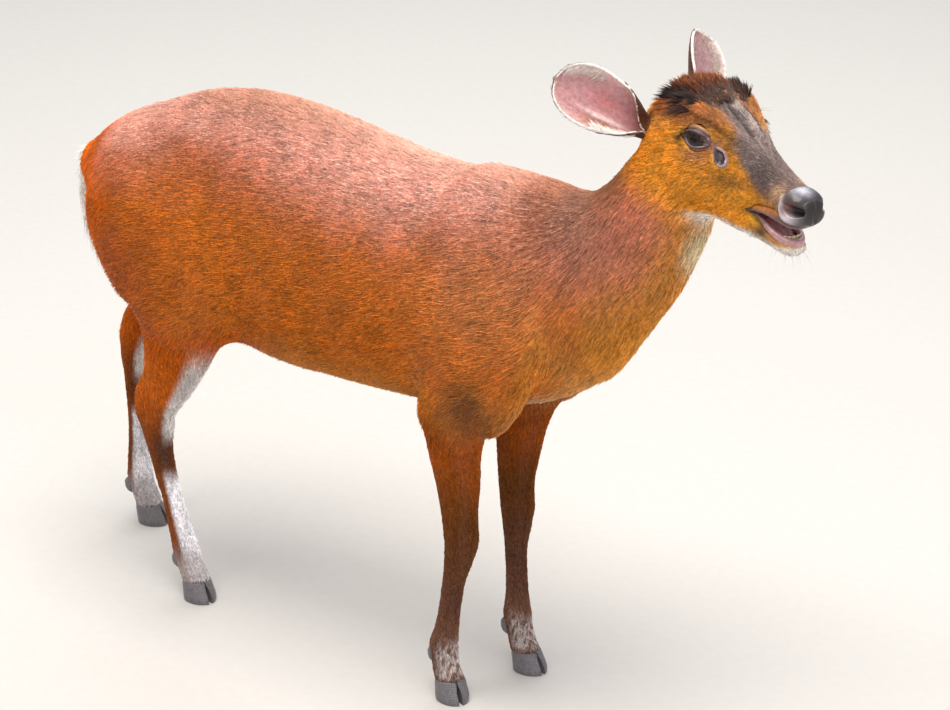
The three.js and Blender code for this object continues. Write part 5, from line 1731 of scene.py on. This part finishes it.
# %% Tail
TAIL = [(-404, 0, 440, 11, 11, 12), (-424, 0, 434, 10, 10, 14), (-436, 0, 411, 8, 8, 18),
        (-437, 0, 378, 7, 7, 21), (-429, 0, 346, 6, 6, 19), (-415, 0, 322, 5, 5, 14),
        (-404, 0, 308, 4, 4, 8)]
core = np.array(TAIL) * (1, 1, 1, 0.8, 0.8, 0.8)
points, quads, fans = closed_surface(loft(core, hint=FORE, sides=28, steps=5, domes=(4, 6)))
tone = plain("#e8dfd4", len(points))
tone = paint(tone, "#b45a1c", ramp(-points[:, 0], 430, 441) * ramp(points[:, 2], 320, 350))
tail_core = add_piece("tail_core", points, [quads, fans], skin_material, "white_hair",
                      attributes=colour_layer(tone))
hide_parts("tail")

# %% Hair of the tail
TAIL_TUFTS = 8500
t = rng.uniform(0.3, 5.7, TAIL_TUFTS)
row = rows_at(TAIL, t)
angle = rng.uniform(-np.pi, np.pi, TAIL_TUFTS)
way = unit(rows_at(TAIL, t + 0.05)[:, :3] - row[:, :3])
ahead = unit(np.array(FORE, float) - way[:, :1] * way)
sideways = np.cross(way, ahead)
cosine, sine = np.cos(angle)[:, None], np.sin(angle)[:, None]
normals = unit(cosine * ahead / row[:, 3:4] + sine * sideways / row[:, 5:6])
roots = (row[:, :3] + 0.78 * row[:, 3:4] * np.cos(angle)[:, None] * ahead
         + 0.78 * row[:, 5:6] * np.sin(angle)[:, None] * sideways)
flank = np.abs(np.sin(angle))
behind = np.cos(angle) < -0.35
length = np.where(behind, 17, 24 + 12 * flank) * rng.uniform(0.7, 1.15, TAIL_TUFTS)
length = np.minimum(length, roots[:, 2] - 272)
lie = unit(way + 0.10 * normals + 0.12 * flank[:, None] * np.sin(angle)[:, None] * sideways
           + rng.normal(0, 0.06, (TAIL_TUFTS, 3)))
bend = np.column_stack([0 * t, -0.12 * np.sin(angle) * sideways[:, 1], -0.05 + 0 * t])
tone = plain("#f4f0ea", TAIL_TUFTS)
orange_back = behind & (flank < 0.8)
tone[orange_back] = linear("#b9601f")
tone = tone * (1 + rng.normal(0, 0.06, (TAIL_TUFTS, 1)))
corners = long_tufts(roots, normals, lie, length, np.full(TAIL_TUFTS, 1.5), bend)
spots = np.column_stack([0.5 + 0.48 * angle / np.pi, t / 6.2 + 0.02])
add_tufts("coat_tail", corners, LONG_FACES, shaded(tone, (0.82, 0.82, 0.86, 0.97, 0.97, 1, 1.03)), spots,
          hair_material, "white_hair")

# %% [markdown]
# Whiskers are single stiff hairs on lip, chin and brow. The hooves are worked from the same tables as
# the solids, with more points: a wall that runs down to a flat sole, split in two by the cleft.

# %% Whiskers
def whiskers(name, patches, length, width, code):
    """Strands rooted on the skin under random places in each patch, pointing outwards and forwards."""
    roots, ways = [], []
    for u, v, w, spread, number, way in patches:
        for side in (-1, 1):
            place = np.array([u, side * v, w]) + rng.normal(0, spread, (number, 3))
            base, normal = skin_under(on_head(place))
            roots.append(base)
            turned = turn_on_head(np.array(way) * (1, side, 1))
            ways.append(unit(normal + turned + rng.normal(0, 0.18, normal.shape)))
    roots, ways = np.vstack(roots), np.vstack(ways)
    number = len(roots)
    sag = np.tile((0, 0, -0.22), (number, 1))
    lengths = length * rng.uniform(0.5, 1.1, number)
    corners, faces, t = strands(roots, ways, sag, lengths, np.full(number, width))
    tone = np.tile(linear(code), (number * len(t), 1))
    add_piece(name, corners.reshape(-1, 3), [repeated(faces, number, len(t))], lash_material, "dark_coat",
              attributes=colour_layer(tone))


whiskers("whiskers_dark", [(84, 17, -44, 4, 9, (0.4, 0.5, -0.2)), (10, 24, 20, 4, 3, (0.3, 0.4, 0.8))],
         15, 0.26, "#2b1d18")
whiskers("whiskers_white", [(88, 6, -86, 4, 12, (0.5, 0.2, -0.7)), (74, 12, -84, 4, 8, (0.2, 0.4, -0.7))],
         13, 0.24, "#efe6dc")

# %% Hooves
HOOF_YAW = {"fore_right": -25, "fore_left": -8, "hind_right": -12, "hind_left": 6}
horn, tree, shader = new_material("hoof horn", Roughness=0.42, IOR=1.5)
place = add_node(tree, "TexCoord").outputs["Object"]
stretch = add_node(tree, "Mapping", {0: place, 3: (1, 1, 0.12)})
fibres = add_node(tree, "TexNoise", {"Vector": stretch.outputs[0], "Scale": 900, "Detail": 3})
rings = add_node(tree, "TexWave", {"Vector": place, "Scale": 150,
                                             "Distortion": 3, "Detail": 2}, bands_direction="Z")
tone = add_node(tree, "Mix", {"Factor": fibres.outputs["Fac"], "A": rgba("#3c3a3d"),
                                        "B": rgba("#857f82")}, data_type="RGBA")
tree.links.new(tone.outputs[2], shader.inputs["Base Color"])
mixed = add_node(tree, "Math", {0: fibres.outputs["Fac"], 1: rings.outputs["Fac"]}, operation="ADD")
bump = add_node(tree, "Bump", {"Height": mixed.outputs[0], "Strength": 0.5, "Distance": 0.0004})
tree.links.new(bump.outputs[0], shader.inputs["Normal"])


# %% Hoof halves
def hoof_half(name, side):
    """Ring = coronet to sole, x and y by their half sizes; the inner side is cut flat by the cleft."""
    x, y, z, front, back, across = LEGS[name][-1]
    yaw = math.radians(HOOF_YAW[name])
    ahead = np.array([math.cos(yaw), math.sin(yaw), 0.0])
    aside = np.array([-math.sin(yaw), math.cos(yaw), 0.0])
    # height, shift forwards, half sizes front, back, side
    rows = [(z + 3, -0.5, front + 0.6, back + 0.4, across + 0.3),
            (z - 0.3, 0, front + 1.5, back + 1.5, across + 1.4),
            (z - 4, 1.0, 17.0, 15.0, 15.2), (6, 3, 19, 15.5, 16), (1.2, 3, 19.9, 15.2, 15.3),
            (0, 3, 19.2, 14.6, 14.6)]
    rows = rows_at(rows, np.linspace(0, len(rows) - 1, 26))
    height, shift, front, back, across = rows.T
    angle = np.linspace(0, 2 * np.pi, 48, endpoint=False)
    cosine, sine = np.cos(angle)[None], np.sin(angle)[None]
    forwards = np.where(cosine > 0, front[:, None], back[:, None]) * np.sign(cosine) * np.abs(cosine) ** 1.02
    outwards = across[:, None] * sine
    cleft = 0.7 + np.where(forwards > 0, 0.085 * forwards, 0) * ramp(-height[:, None], -z - 2, -z + 5)
    outwards = side * np.maximum(side * outwards, cleft)
    centre = np.array([x, y, 0]) + shift[:, None, None] * ahead
    grid = centre + forwards[..., None] * ahead + outwards[..., None] * aside
    grid[..., 2] = np.maximum(height[:, None], 0)
    return grid


for name in LEGS:
    for side, hand in ((1, "left"), (-1, "right")):
        points, quads, fans = closed_surface(hoof_half(name, side))
        hoof = add_piece(f"hoof_wall_{name}_{hand}", points, [quads, fans], horn, "horn")
        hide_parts(f"hoof_{name}_{hand}")
        claw = frame["nodes"][f"dewclaw_{name}_{hand}"]
        claw.data.materials.clear()
        claw.data.materials.append(horn)

# %% [markdown]
# The stage is plain: a wide pale floor, a big soft light high above her, a weak one from the camera's
# right, another from behind, and a pale sky round everything.

# %% Floor and lights
FLOOR_HALF = 6000.0


def add_floor():
    """A sheet of 12 by 12 m at the height of the hooves' soles, in a pale matt plaster."""
    material, tree, shader = new_material("matt plaster floor", Roughness=0.9)
    place = add_node(tree, "TexCoord").outputs["Object"]
    grain = add_node(tree, "TexNoise", {"Vector": place, "Scale": 90, "Detail": 4})
    tone = add_node(tree, "Mix", {"Factor": grain.outputs["Fac"], "A": rgba("#c9c6c2"),
                                            "B": rgba("#d0cdc9")}, data_type="RGBA")
    tree.links.new(tone.outputs[2], shader.inputs["Base Color"])
    corners = FLOOR_HALF * np.array([(-1, -1, 0), (1, -1, 0), (1, 1, 0), (-1, 1, 0)])
    floor = add_mesh("floor", corners - ORIGIN, [np.array([[0, 1, 2, 3]])])
    floor.data.materials.append(material)


def add_light(name, azimuth, elevation, distance, size, watts, colour):
    """A square area light that looks at the middle of the animal."""
    light = bpy.data.lights.new(name, "AREA")
    light.size = size
    light.energy = watts
    light.color = linear(colour)
    turn, lift = math.radians(azimuth), math.radians(elevation)
    away = np.array([math.cos(lift) * math.sin(turn), -math.cos(lift) * math.cos(turn), math.sin(lift)])
    lamp = bpy.data.objects.new(name, light)
    lamp.location = VIEW_TARGET + distance * away
    lamp.rotation_euler = (math.pi / 2 - lift, 0, turn)
    bpy.context.collection.objects.link(lamp)


add_floor()
add_light("key light", 4, 78, 3.0, 2.2, 120, "#fffaf2")
add_light("fill light", 62, 22, 3.4, 2.6, 34, "#f4f6ff")
add_light("back light", 215, 48, 3.2, 2.2, 34, "#ffffff")
world = bpy.data.worlds.new("pale studio")
world.use_nodes = True
world.node_tree.nodes["Background"].inputs["Color"].default_value = rgba("#f1f3f6")
world.node_tree.nodes["Background"].inputs["Strength"].default_value = 0.62
bpy.context.scene.world = world
bpy.context.scene.view_settings.view_transform = "Standard"
